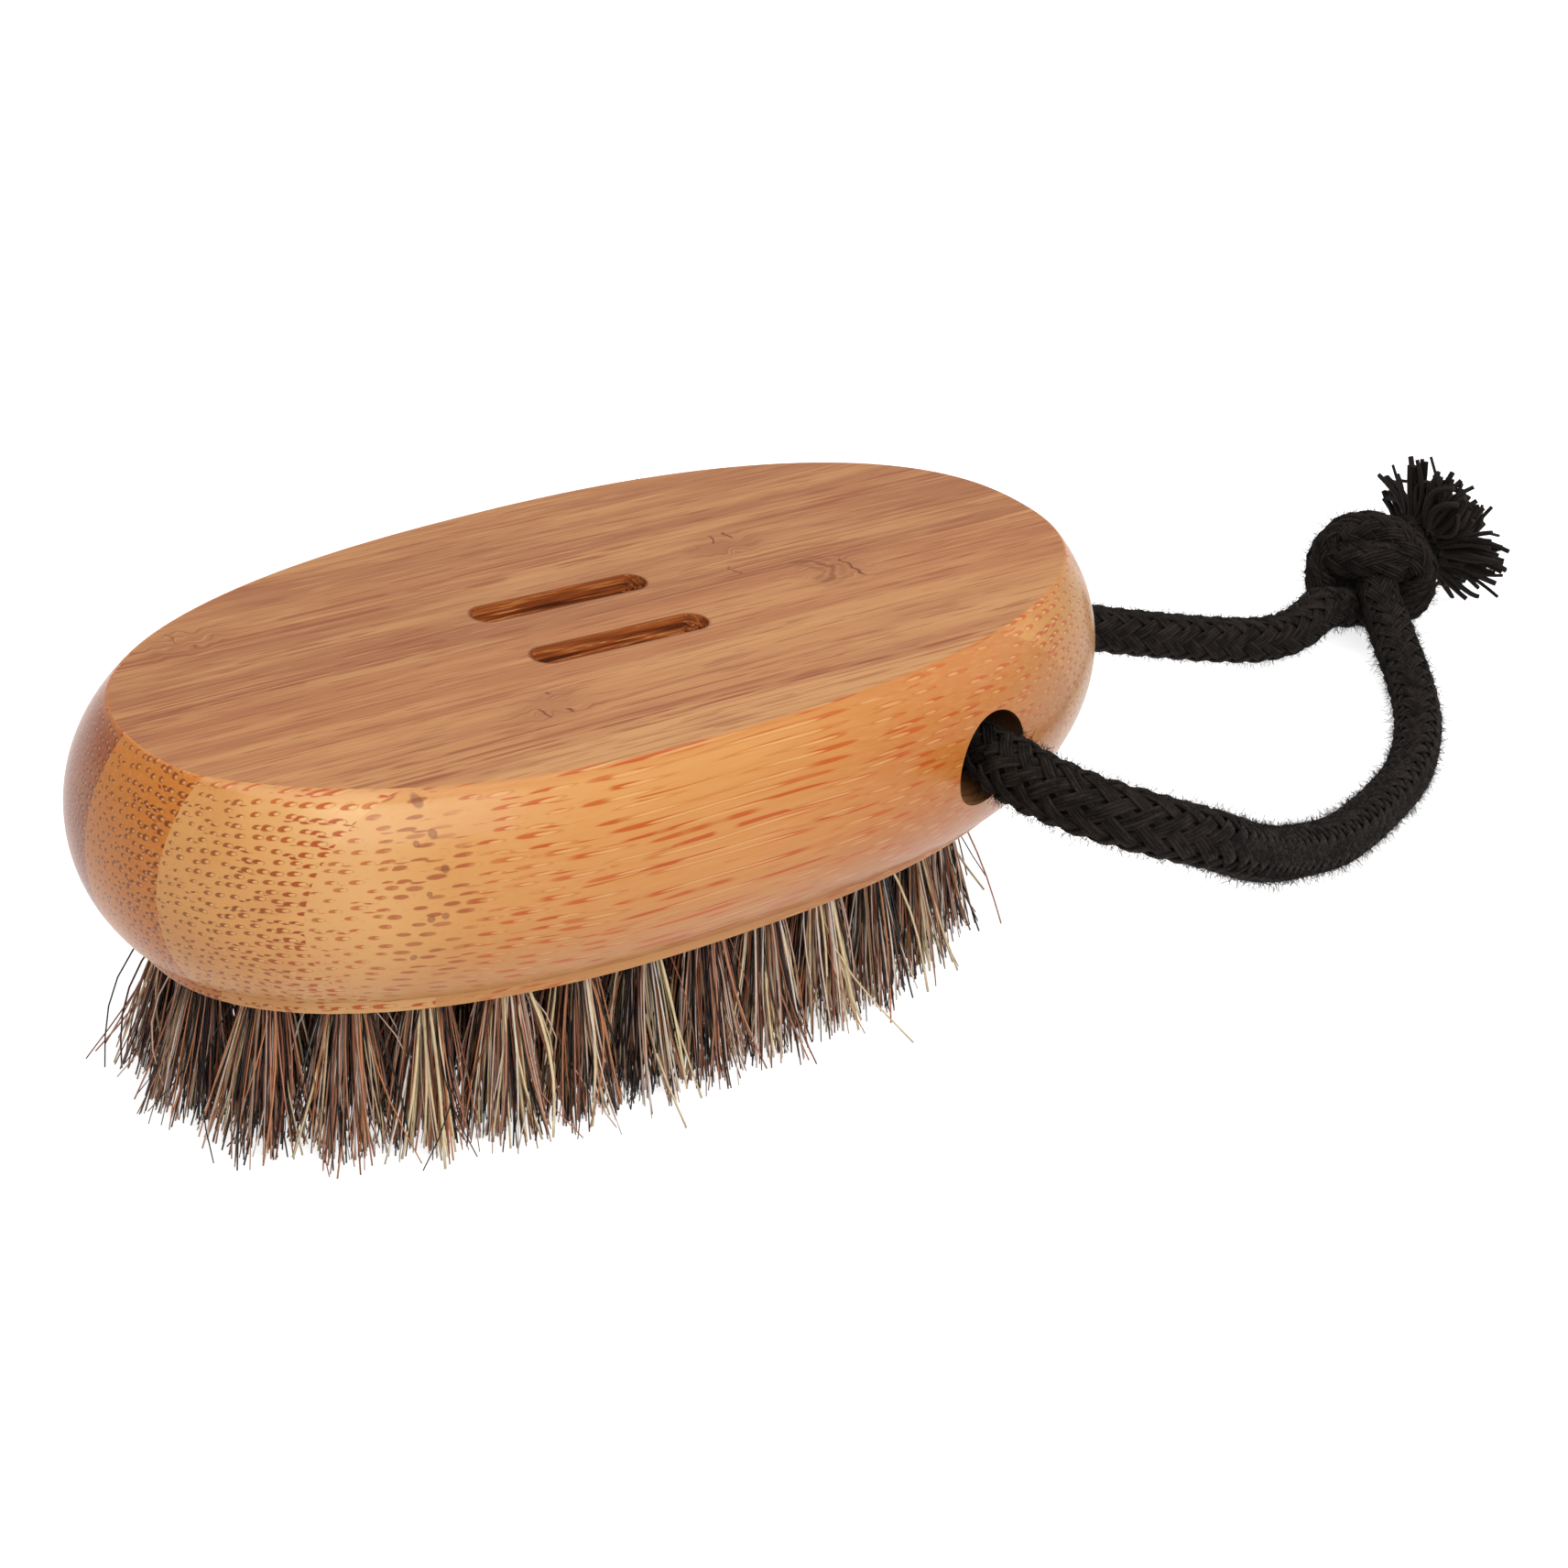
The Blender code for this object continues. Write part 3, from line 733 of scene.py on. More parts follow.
    def _slot_outline(self, graph: Graph) -> Wire:
        """Thin scorched line on the top face round each slot."""
        plank, marks = self.plank, []
        for middle in plank.slot_middles():
            mapped = graph.get("ShaderNodeMapping", {
                "Vector": graph.get("ShaderNodeTexCoord", output="Object"),
                "Location": (middle.x * MM, middle.y * MM, 0.0),
                "Rotation": (0.0, 0.0, plank.slot_skew),
            }, vector_type="TEXTURE")
            along, across, _ = mapped.parts()
            past = abs(along) * PER_MM + (plank.slot_width - plank.slot_length) / 2
            far = abs(graph.combine(past.math("MAXIMUM", 0.0), across * PER_MM))
            marks.append(far.fade(plank.slot_width / 2, plank.slot_width / 2 + 0.3, 0.85, 0.0))
        return greatest(marks)

    def _dress_top(self, place: GrainPlace) -> dict:
        """Satin top, with long grain lines and a few joints."""
        graph = place.graph
        near = self._near_joints(place)
        ripple = place.noise((0.42, 0.42, 0.0))
        bent = replace(place, across=place.across + (ripple - 0.5) * (near * 3.4))
        fibre = self._bundles(bent, 34.0, 0.7)
        weight = fibre.dense * 0.45 + (fibre.chance * 0.4 + 0.05)
        weight = weight * (fibre.dash * 0.8 + 0.2)
        strokes = greatest([self._cross_strokes(place), self._slot_outline(graph)])
        fine = self._grain(bent, 24.0, 3.6)
        colour = graph.paint(self._strip_tone(place, self.top_tones), self.top_layers, {
            "broad": self._grain(bent, 42.0, 0.36, 2.0), "near": near, "fine": fine,
            "hair": self._grain(bent, 8.0, 2.6, 1.0), "vessel": fibre.vessel * weight,
            "rim": fibre.rim * weight, "cap": fibre.cap * weight, "strokes": strokes,
        })
        return {
            "Base Color": colour, "Roughness": 0.5, "Specular IOR Level": 0.22,
            "Normal": graph.bump(fine - strokes, 0.3, 0.04),
        }

    def _dress_slot(self, place: GrainPlace) -> dict:
        """Scorched slots, ridged along their length."""
        graph = place.graph
        fine = self._grain(place, 16.0, 3.0, 2.0)
        colour = graph.paint(
            graph.ramp(fine, self.slot_tones), self.slot_layers, {"height": place.height},
        )
        return {
            "Base Color": colour, "Roughness": 0.36, "Normal": graph.bump(fine, 0.8, 0.25),
        }

    def _dress_under(self, place: GrainPlace) -> dict:
        """Unlacquered bamboo of the underside and the bores, with painted shade deep in the bores.
        """
        graph = place.graph
        fine = self._grain(place, 10.0, 3.0)
        colour = graph.paint(graph.ramp(fine, self.under_tones), self.under_layers, {
            "cap": self._bundles(place).cap, "height": place.height,
        })
        return {
            "Base Color": colour, "Roughness": 0.62, "Normal": graph.bump(fine, 0.4, 0.06),
        }


@dataclass(frozen=True)
class BristleFinish:
    """Mixed natural hair, whose colour is picked by each hair's own tone."""

    name: str = "mixed_bristle"
    roughness: float = 0.38
    specular: float = 0.3
    patch_scale: float = 900.0
    tones: tuple[tuple[float, Tone], ...] = (
        (0.0, (10, 8, 9)), (0.2, (68, 40, 31)), (0.29, (152, 95, 69)), (0.42, (206, 147, 118)),
        (0.57, (220, 150, 102)), (0.64, (234, 202, 181)), (0.75, (253, 240, 226)),
        (0.89, (255, 234, 186)),
    )
    layers: tuple[Layer, ...] = (
        Layer("patch", 0.25, (104, 70, 54), 0.45, 0.8),
        Layer("along", 0.3, (64, 52, 48), 0.9, 1.0),
    )

    def build(self) -> bpy.types.Material:
        """Make the material."""
        material, graph, shader = new_material(self.name)
        tone, along = (graph.get("ShaderNodeAttribute", output="Fac", attribute_name=name)
                       for name in ("tone", "along"))
        place = graph.get("ShaderNodeTexCoord", output="Object")
        colour = graph.paint(graph.ramp(tone, self.tones, "CONSTANT"), self.layers, {
            "patch": graph.noise(place, self.patch_scale, 2.0), "along": along,
        })
        graph.fill(shader, {
            "Base Color": colour, "Roughness": self.roughness,
            "Specular IOR Level": self.specular,
        })
        return material


@dataclass(frozen=True)
class CottonFinish:
    """Dull black cotton yarn."""

    name: str = "black_cotton"
    roughness: float = 0.82
    specular: float = 0.12
    speckle_scale: float = 2600.0
    darkest: Tone = (13, 11, 10)
    palest: Tone = (52, 45, 41)
    layers: tuple[Layer, ...] = (Layer("speckle", 0.45, (58, 51, 46), 0.52, 0.75),)

    def build(self) -> bpy.types.Material:
        """Make the material."""
        material, graph, shader = new_material(self.name)
        tone = graph.get("ShaderNodeAttribute", output="Fac", attribute_name="tone")
        place = graph.get("ShaderNodeTexCoord", output="Object")
        speckle = graph.noise(place, self.speckle_scale, 3.0)
        colour = graph.mix(tone, self.darkest, self.palest)
        graph.fill(shader, {
            "Base Color": graph.paint(colour, self.layers, {"speckle": speckle}),
            "Roughness": self.roughness, "Specular IOR Level": self.specular,
            "Normal": graph.bump(speckle, 0.6, 0.05),
        })
        return material


def finish_piece(piece: bpy.types.Object, body: str, node: str) -> None:
    """Hand one finished piece to the frame.

    Args:
        piece: The piece, with its place in its mesh.
        body: The body it rides on.
        node: The node that it stands for.
    """
    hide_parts(node)
    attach(piece, body)
    log.info("%s: %d faces", piece.name, len(piece.data.polygons))


def link(name: str, data: bpy.types.ID) -> bpy.types.Object:
    """New object in the scene that holds some data.

    Args:
        name: The object's name.
        data: A mesh, curve, camera or light.

    Returns:
        The object.
    """
    piece = bpy.data.objects.new(name, data)
    bpy.context.scene.collection.objects.link(piece)
    return piece


def link_mesh(name: str, bm: bmesh.types.BMesh) -> bpy.types.Object:
    """Object in the scene made from a bmesh, which is freed.

    Args:
        name: The object's and its mesh's name.
        bm: The shape.

    Returns:
        The object.
    """
    mesh = bpy.data.meshes.new(name)
    bm.to_mesh(mesh)
    bm.free()
    return link(name, mesh)


def applied(source: bpy.types.Object) -> bpy.types.Mesh:
    """Plain mesh of what an object's modifiers make."""
    depsgraph = bpy.context.evaluated_depsgraph_get()
    return bpy.data.meshes.new_from_object(source.evaluated_get(depsgraph), depsgraph=depsgraph)


def evenly_spaced(curve: Places, count: int) -> Places:
    """Points that lie even steps apart on a curve.

    Args:
        curve: Close points of the curve.
        count: How many steps there are.

    Returns:
        The new points, one more than there are steps.
    """
    lengths = [0.0]
    for start, end in zip(curve, curve[1:]):
        lengths.append(lengths[-1] + (end - start).length)
    even, index = [], 0
    for number in range(count + 1):
        target = lengths[-1] * number / count
        while index < len(curve) - 2 and lengths[index + 1] < target:
            index += 1
        share = (target - lengths[index]) / (lengths[index + 1] - lengths[index])
        even.append(curve[index].lerp(curve[index + 1], share))
    return even


def route_length(points: Places) -> float:
    """Length along straight steps between points."""
    return sum((end - start).length for start, end in zip(points, points[1:]))


def smooth_route(points: Places, step: float, parts: int = 24) -> Places:
    """Points along a smooth curve through a route, an even step apart.

    Args:
        points: The route's chosen points.
        step: About how far apart the new ones lie.
        parts: How finely each stretch of the curve is worked out.

    Returns:
        The new points, with the same first and last.
    """
    padded = [points[0] * 2 - points[1], *points, points[-1] * 2 - points[-2]]
    curve = []
    for index in range(1, len(padded) - 2):
        before, start, end, after = padded[index - 1:index + 3]
        for part in range(parts):
            t = part / parts
            curve.append(0.5 * (
                start * 2 + (end - before) * t
                + (before * 2 - start * 5 + end * 4 - after) * t ** 2
                + (start * 3 - before - end * 3 + after) * t ** 3
            ))
    curve.append(points[-1])
    return evenly_spaced(curve, max(2, round(route_length(curve) / step)))


def signed_power(value: float, power: float) -> float:
    """Power of a number's size, with the number's own sign."""
    return math.copysign(abs(value) ** power, value)


@dataclass
class BambooBlock:
    """Oval block with a bulging side, cut into its six glued strips."""

    top_length: float = 102.2 * MM
    top_width: float = 50.0 * MM
    outline_power: float = 2.3
    thickness: float = 23.2 * MM
    top_z: float = 39.6 * MM
    side_radius: float = 16.0 * MM
    widest_depth: float = 10.5 * MM
    turn_depth: float = 20.4 * MM
    arris_radius: float = 0.4 * MM
    soft_arris_radius: float = 2.6 * MM
    soft_arris_angle: float = math.radians(232.0)
    soft_arris_reach: float = math.radians(38.0)
    sharp_angle: float = math.radians(24.0)
    rim_height: float = 1.5 * MM
    rim_inset: float = 1.75 * MM
    rim_edge: float = 0.3 * MM
    rim_round: float = 0.3
    crease_pull: float = 0.7
    support: float = 0.5 * MM
    outline_count: int = 420
    outline_fineness: int = 20
    arris_steps: int = 6
    side_steps: int = 26
    crease_steps: int = 9
    bore_diameter: float = 9.7 * MM
    bore_x: float = 25.9 * MM
    bore_depth: float = 10.6 * MM
    bore_sides: int = 72
    slot_depth: float = 2.2 * MM
    slot_sides: int = 48
    hole_diameter: float = 4.4 * MM
    hole_depth: float = 6.0 * MM
    hole_sides: int = 20
    overrun: float = 2.0 * MM
    slack: float = 0.02 * MM
    slot_slack: float = 0.1 * MM
    level_normal: float = 0.999
    plank: Plank = Plank()
    roots: Places = field(default_factory=list)

    @property
    def underside(self) -> float:
        """Height of the underside."""
        return self.top_z - self.thickness

    def build(self) -> None:
        """Make the block, cut it and dress its strips."""
        whole = link_mesh("whole_block", self._loft())
        for cutter in (self._bore(), self._slots(), self._holes()):
            self._apply(whole, cutter, "DIFFERENCE")
        finishes = [BambooFinish(face).build() for face in BambooFace]
        for number in range(self.plank.strip_count):
            strip = link(f"bamboo_{number + 1}", whole.data.copy())
            self._apply(strip, self._slab(number), "INTERSECT")
            self._dress(strip, finishes)
            finish_piece(strip, BRUSH_BODY, f"bamboo_strip_{number + 1}")
        bpy.data.objects.remove(whole, do_unlink=True)

    def _outline(self) -> list[tuple[Vector, Vector, float]]:
        """Place, outward normal and angle of evenly spaced points round the top outline."""
        power, half_x, half_y = self.outline_power, self.top_length / 2, self.top_width / 2
        fine = self.outline_count * self.outline_fineness
        dense = []
        for step in range(fine + 1):
            angle = FULL_TURN * step / fine
            dense.append(Vector((
                half_x * signed_power(math.cos(angle), 2 / power),
                half_y * signed_power(math.sin(angle), 2 / power),
            )))
        points = []
        for place in evenly_spaced(dense, self.outline_count)[:-1]:
            normal = Vector((
                signed_power(place.x / half_x, power - 1) / half_x,
                signed_power(place.y / half_y, power - 1) / half_y,
            )).normalized()
            points.append((place, normal, math.atan2(normal.y, normal.x) % FULL_TURN))
        return points

    def _arris(self, angle: float) -> float:
        """Radius of the top edge where the outline faces an angle, softer at the front left."""
        away = abs(angle - self.soft_arris_angle) / self.soft_arris_reach
        softness = max(0.0, 1 - away * away) ** 2
        return self.arris_radius + softness * (self.soft_arris_radius - self.arris_radius)

    def _profile(self, arris: float) -> list[tuple[float, float]]:
        """Depth and offset of each ring, from inside the top face to inside the underside.

        Args:
            arris: Radius of the top edge.

        Returns:
            Pairs of depth below the top and distance out of the top outline.
        """
        big, wide = self.side_radius, self.widest_depth
        at_top = math.sqrt(big ** 2 - wide ** 2)
        centre = math.sqrt((big - arris) ** 2 - (wide - arris) ** 2) - at_top
        meet = math.asin((wide - arris) / (big - arris))
        last = math.asin((wide - self.turn_depth) / big)
        rings = [(0.0, centre - self.support)]
        for step in range(self.arris_steps + 1):
            turn = math.pi / 2 + (meet - math.pi / 2) * step / self.arris_steps
            rings.append((arris * (1 - math.sin(turn)), centre + arris * math.cos(turn)))
        for step in range(1, self.side_steps + 1):
            turn = meet + (last - meet) * step / self.side_steps
            rings.append((wide - big * math.sin(turn), big * math.cos(turn) - at_top))
        start = Vector(rings[-1])
        heading = Vector((math.cos(last), math.sin(last)))
        crease = Vector((self.thickness - self.rim_height, -self.rim_inset))
        reach = (crease - start).length / 2
        first, second = start + heading * reach, crease - Vector((reach * self.crease_pull, 0.0))
        for step in range(1, self.crease_steps + 1):
            t = step / self.crease_steps
            blend = (
                start * (1 - t) ** 3 + first * 3 * t * (1 - t) ** 2
                + second * 3 * t * t * (1 - t) + crease * t ** 3
            )
            rings.append((blend.x, blend.y))
        edge = self.rim_edge
        eased = edge * self.rim_round
        for lift, inset in ((edge, 0.0), (eased, eased), (0.0, edge),
                            (0.0, edge + self.support)):
            rings.append((self.thickness - lift, -self.rim_inset - inset))
        return rings

    def _loft(self) -> bmesh.types.BMesh:
        """Closed skin of the uncut block."""
        bm = bmesh.new()
        columns = []
        for place, normal, angle in self._outline():
            column = []
            for depth, offset in self._profile(self._arris(angle)):
                spot = place + normal * offset
                column.append(bm.verts.new((spot.x, spot.y, self.top_z - depth)))
            columns.append(column)
        for here, after in zip(columns, columns[1:] + columns[:1]):
            for level in range(len(here) - 1):
                bm.faces.new((here[level], here[level + 1], after[level + 1], after[level]))
        bm.faces.new([column[0] for column in columns])
        bm.faces.new([column[-1] for column in reversed(columns)])
        bmesh.ops.recalc_face_normals(bm, faces=bm.faces[:])
        return bm

    def _cylinder(self, bm: bmesh.types.BMesh, place: Matrix, diameter: float, depth: float,
                  sides: int) -> list[bmesh.types.BMVert]:
        """Add one capped cylinder to a cutter and return its corners."""
        return bmesh.ops.create_cone(
            bm, cap_ends=True, segments=sides, radius1=diameter / 2, radius2=diameter / 2,
            depth=depth, matrix=place,
        )["verts"]

    def _bore(self) -> bpy.types.Object:
        """Cutter for the cord's bore."""
        bm = bmesh.new()
        place = Matrix.Translation((self.bore_x, 0, self.top_z - self.bore_depth))
        place = place @ Matrix.Rotation(math.pi / 2, 4, "X")
        depth = self.top_width + self.side_radius
        self._cylinder(bm, place, self.bore_diameter, depth, self.bore_sides)
        return link_mesh("bore_cutter", bm)

    def _slots(self) -> bpy.types.Object:
        """Cutter for both round-ended slots."""
        bm = bmesh.new()
        plank = self.plank
        height = self.slot_depth + self.overrun
        stretch = (plank.slot_length - plank.slot_width) / 2 * MM
        for middle in plank.slot_middles():
            turn = Matrix.Rotation(math.pi / self.slot_sides, 4, "Z")
            made = self._cylinder(bm, turn, plank.slot_width * MM, height, self.slot_sides)
            for vert in made:
                vert.co.x += math.copysign(stretch, vert.co.x)
            bmesh.ops.rotate(bm, matrix=Matrix.Rotation(plank.slot_skew, 3, "Z"), verts=made)
            lift = self.top_z - self.slot_depth + height / 2
            bmesh.ops.translate(bm, vec=(middle.x * MM, middle.y * MM, lift), verts=made)
        return link_mesh("slot_cutter", bm)

    def _holes(self) -> bpy.types.Object:
        """Cutter for every tuft's blind hole."""
        bm = bmesh.new()
        depth = self.hole_depth + self.overrun
        middle = self.underside + self.hole_depth - depth / 2
        for root in self.roots:
            place = Matrix.Translation((root.x, root.y, middle))
            self._cylinder(bm, place, self.hole_diameter, depth, self.hole_sides)
        return link_mesh("hole_cutter", bm)

    def _slab(self, number: int) -> bpy.types.Object:
        """Box that keeps one strip of the block."""
        bm = bmesh.new()
        width = self.plank.strip_width * MM
        across = (number - (self.plank.strip_count - 1) / 2) * width
        bmesh.ops.create_cube(bm, size=1.0)
        bmesh.ops.scale(bm, vec=(self.top_length * 2, width, self.top_z * 2), verts=bm.verts)
        bmesh.ops.translate(bm, vec=(0, across, self.top_z / 2), verts=bm.verts)
        bmesh.ops.rotate(bm, matrix=Matrix.Rotation(self.plank.skew, 3, "Z"), verts=bm.verts)
        return link_mesh("strip_slab", bm)

    def _apply(self, piece: bpy.types.Object, cutter: bpy.types.Object, operation: str) -> None:
        """Cut or keep part of a piece, and remove the cutter.

        Args:
            piece: The piece.
            cutter: The shape that cuts it or bounds what is kept.
            operation: DIFFERENCE or INTERSECT.
        """
        modifier = piece.modifiers.new("cut", "BOOLEAN")
        modifier.object = cutter
        modifier.operation = operation
        modifier.solver = "MANIFOLD"
        made = applied(piece)
        piece.modifiers.remove(modifier)
        piece.data = made
        bpy.data.objects.remove(cutter, do_unlink=True)

    def _dress(self, strip: bpy.types.Object, finishes: list[bpy.types.Material]) -> None:
        """Give each face of a strip its finish, and shade what is round as round.

        Args:
            strip: The strip.
            finishes: A material for each kind of face, in order.
        """
        mesh = strip.data
        mesh.name = strip.name
        mesh.materials.clear()
        for finish in finishes:
            mesh.materials.append(finish)
        order = {face: index for index, face in enumerate(BambooFace)}
        for polygon in mesh.polygons:
            polygon.material_index = order[self._face_kind(polygon)]
        mesh.shade_smooth()
        mesh.set_sharp_from_angle(angle=self.sharp_angle)

    def _face_kind(self, polygon: bpy.types.MeshPolygon) -> BambooFace:
        """Which finish one face takes, from its place and the way it faces.

        Args:
            polygon: The face.

        Returns:
            The kind of finish.
        """
        centre, normal = polygon.center, polygon.normal
        if centre.z > self.top_z - self.slack and normal.z > self.level_normal:
            return BambooFace.TOP
        if centre.z > self.top_z - self.slot_depth - self.slack and self._in_slot(centre):
            return BambooFace.SLOT
        from_bore = Vector((centre.x - self.bore_x, centre.z - self.top_z + self.bore_depth))
        in_bore = from_bore.length < self.bore_diameter / 2 + self.slack
        in_hole = centre.z < self.underside + self.hole_depth + self.slack and any(
            (centre.xy - root.xy).length < self.hole_diameter / 2 + self.slack
            for root in self.roots
        )
        is_below = centre.z < self.underside + self.slack and normal.z < -self.level_normal
        return BambooFace.UNDER if in_bore or in_hole or is_below else BambooFace.SIDE

    def _in_slot(self, place: Vector) -> bool:
        """Whether a place below the top face is in one of the slots."""
        plank = self.plank
        turn = Matrix.Rotation(-plank.slot_skew, 2)
        half_length = plank.slot_length / 2 * MM + self.slot_slack
        half_width = plank.slot_width / 2 * MM + self.slot_slack
        local = [turn @ (place.xy - middle * MM) for middle in plank.slot_middles()]
        return any(abs(spot.x) < half_length and abs(spot.y) < half_width for spot in local)


class Tree(Graph):
    """Geometry Nodes tree with named inputs."""

    SOCKETS = {int: "NodeSocketInt", float: "NodeSocketFloat", Vector: "NodeSocketVector"}

    def __init__(self, name: str, inputs: dict[str, int | float | Vector]) -> None:
        """Start a tree.

        Args:
            name: The tree's name.
            inputs: The name and default of each input after the geometry.
        """
        super().__init__(bpy.data.node_groups.new(name, "GeometryNodeTree"))
        self.identifiers: dict[str, str] = {}
        interface = self.tree.interface
        interface.new_socket(name="Geometry", in_out="INPUT", socket_type="NodeSocketGeometry")
        for key, value in inputs.items():
            kind = self.SOCKETS[type(value)]
            socket = interface.new_socket(name=key, in_out="INPUT", socket_type=kind)
            socket.default_value = value
            self.identifiers[key] = socket.identifier
        interface.new_socket(name="Geometry", in_out="OUTPUT", socket_type="NodeSocketGeometry")
        source = self.add("NodeGroupInput")
        self.given = {key: self.out(source, key) for key in ("Geometry", *inputs)}

    def capture(self, geometry: Wire, values: dict[str, Wire]) -> tuple[Wire, dict[str, Wire]]:
        """Keep values on the points of a geometry.

        Args:
            geometry: The geometry that keeps them.
            values: Each value by name.

        Returns:
            The geometry, and each kept value by name.
        """
        node = self.add("GeometryNodeCaptureAttribute", domain="POINT")
        for key, value in values.items():
            node.capture_items.new("VECTOR" if value.is_vector else "FLOAT", key)
        self.fill(node, dict(enumerate((geometry, *values.values()))))
        kept = {key: self.out(node, index) for index, key in enumerate(values, 1)}
        return self.out(node), kept

    def random(self, low: float | Vector, high: float | Vector, seed: Wire) -> Wire:
        """Random number or vector for each element, between two limits.

        Args:
            low: Lower limit.
            high: Upper limit.
            seed: Seed of the draw.

        Returns:
            The value.
        """
        kind = "FunctionNodeRandomValue"
        if isinstance(low, Vector):
            return self.get(kind, {0: low, 1: high, "Seed": seed}, data_type="FLOAT_VECTOR")
        return self.get(kind, {2: low, 3: high, "Seed": seed}, 1, data_type="FLOAT")

    def copies(self, points: Wire, levels: int, end: Vector) -> tuple[Wire, Wire]:
        """Line of several levels at every point, and the share of its length at each level.

        Args:
            points: The points.
            levels: How many levels a line has.
            end: Where it ends.

        Returns:
            The lines as one curve, and the share.
        """
        line = self.get("GeometryNodeCurvePrimitiveLine", {"End": end})
        line = self.get("GeometryNodeResampleCurve", {"Curve": line, "Count": levels})
        lines = self.get("GeometryNodeInstanceOnPoints", {"Points": points, "Instance": line})
        factor = self.get("GeometryNodeSplineParameter", output="Factor")
        return self.get("GeometryNodeRealizeInstances", {0: lines}), factor

    def move(self, geometry: Wire, **moves: Wire) -> Wire:
        """Geometry whose points go to a Position, or are moved by an Offset."""
        return self.get("GeometryNodeSetPosition", {"Geometry": geometry, **moves})

    def store(self, geometry: Wire, name: str, value: Wire) -> Wire:
        """Geometry that keeps a value for its material to read."""
        feeds = {"Geometry": geometry, "Name": name, "Value": value}
        return self.get("GeometryNodeStoreNamedAttribute", feeds)

    def tube(self, path: Wire, sides: int, radius: Wire | float) -> Wire:
        """Closed tube along each curve.

        Args:
            path: The curves.
            sides: How many sides a tube has.
            radius: Its radius.

        Returns:
            The tubes.
        """
        circle = self.get("GeometryNodeCurvePrimitiveCircle", {"Resolution": sides, "Radius": 1.0})
        return self.get("GeometryNodeCurveToMesh", {
            "Curve": path, "Profile Curve": circle, "Scale": radius, "Fill Caps": True,
        })

    def close(self, parts: list[Wire], material: bpy.types.Material) -> None:
        """End the tree: join its parts, realize them, and set their material.

        Args:
            parts: The parts.
            material: The material of all of them.
        """
        joined = self.add("GeometryNodeJoinGeometry")
        for part in parts:
            self.fill(joined, {0: part})
        made = self.out(joined)
        for kind in ("GeometryNodeRealizeInstances", "GeometryNodeSetShadeSmooth"):
            made = self.get(kind, {0: made})
        made = self.get("GeometryNodeSetMaterial", {0: made, "Material": material})
        self.add("NodeGroupOutput", {0: made})

    def make(self, name: str, data: bpy.types.ID, values: dict) -> bpy.types.Object:
        """Run the tree.

        Args:
            name: The name of the object that it makes.
            data: The curve or mesh that it starts from.
            values: Inputs that differ from their defaults, by name.

        Returns:
            The object, with a plain mesh.
        """
        source = link("source", data)
        modifier = source.modifiers.new("made", "NODES")
        modifier.node_group = self.tree
        for key, value in values.items():
            modifier[self.identifiers[key]] = list(value) if isinstance(value, Vector) else value
        mesh = applied(source)
        mesh.name = name
        bpy.data.objects.remove(source, do_unlink=True)
        return link(name, mesh)


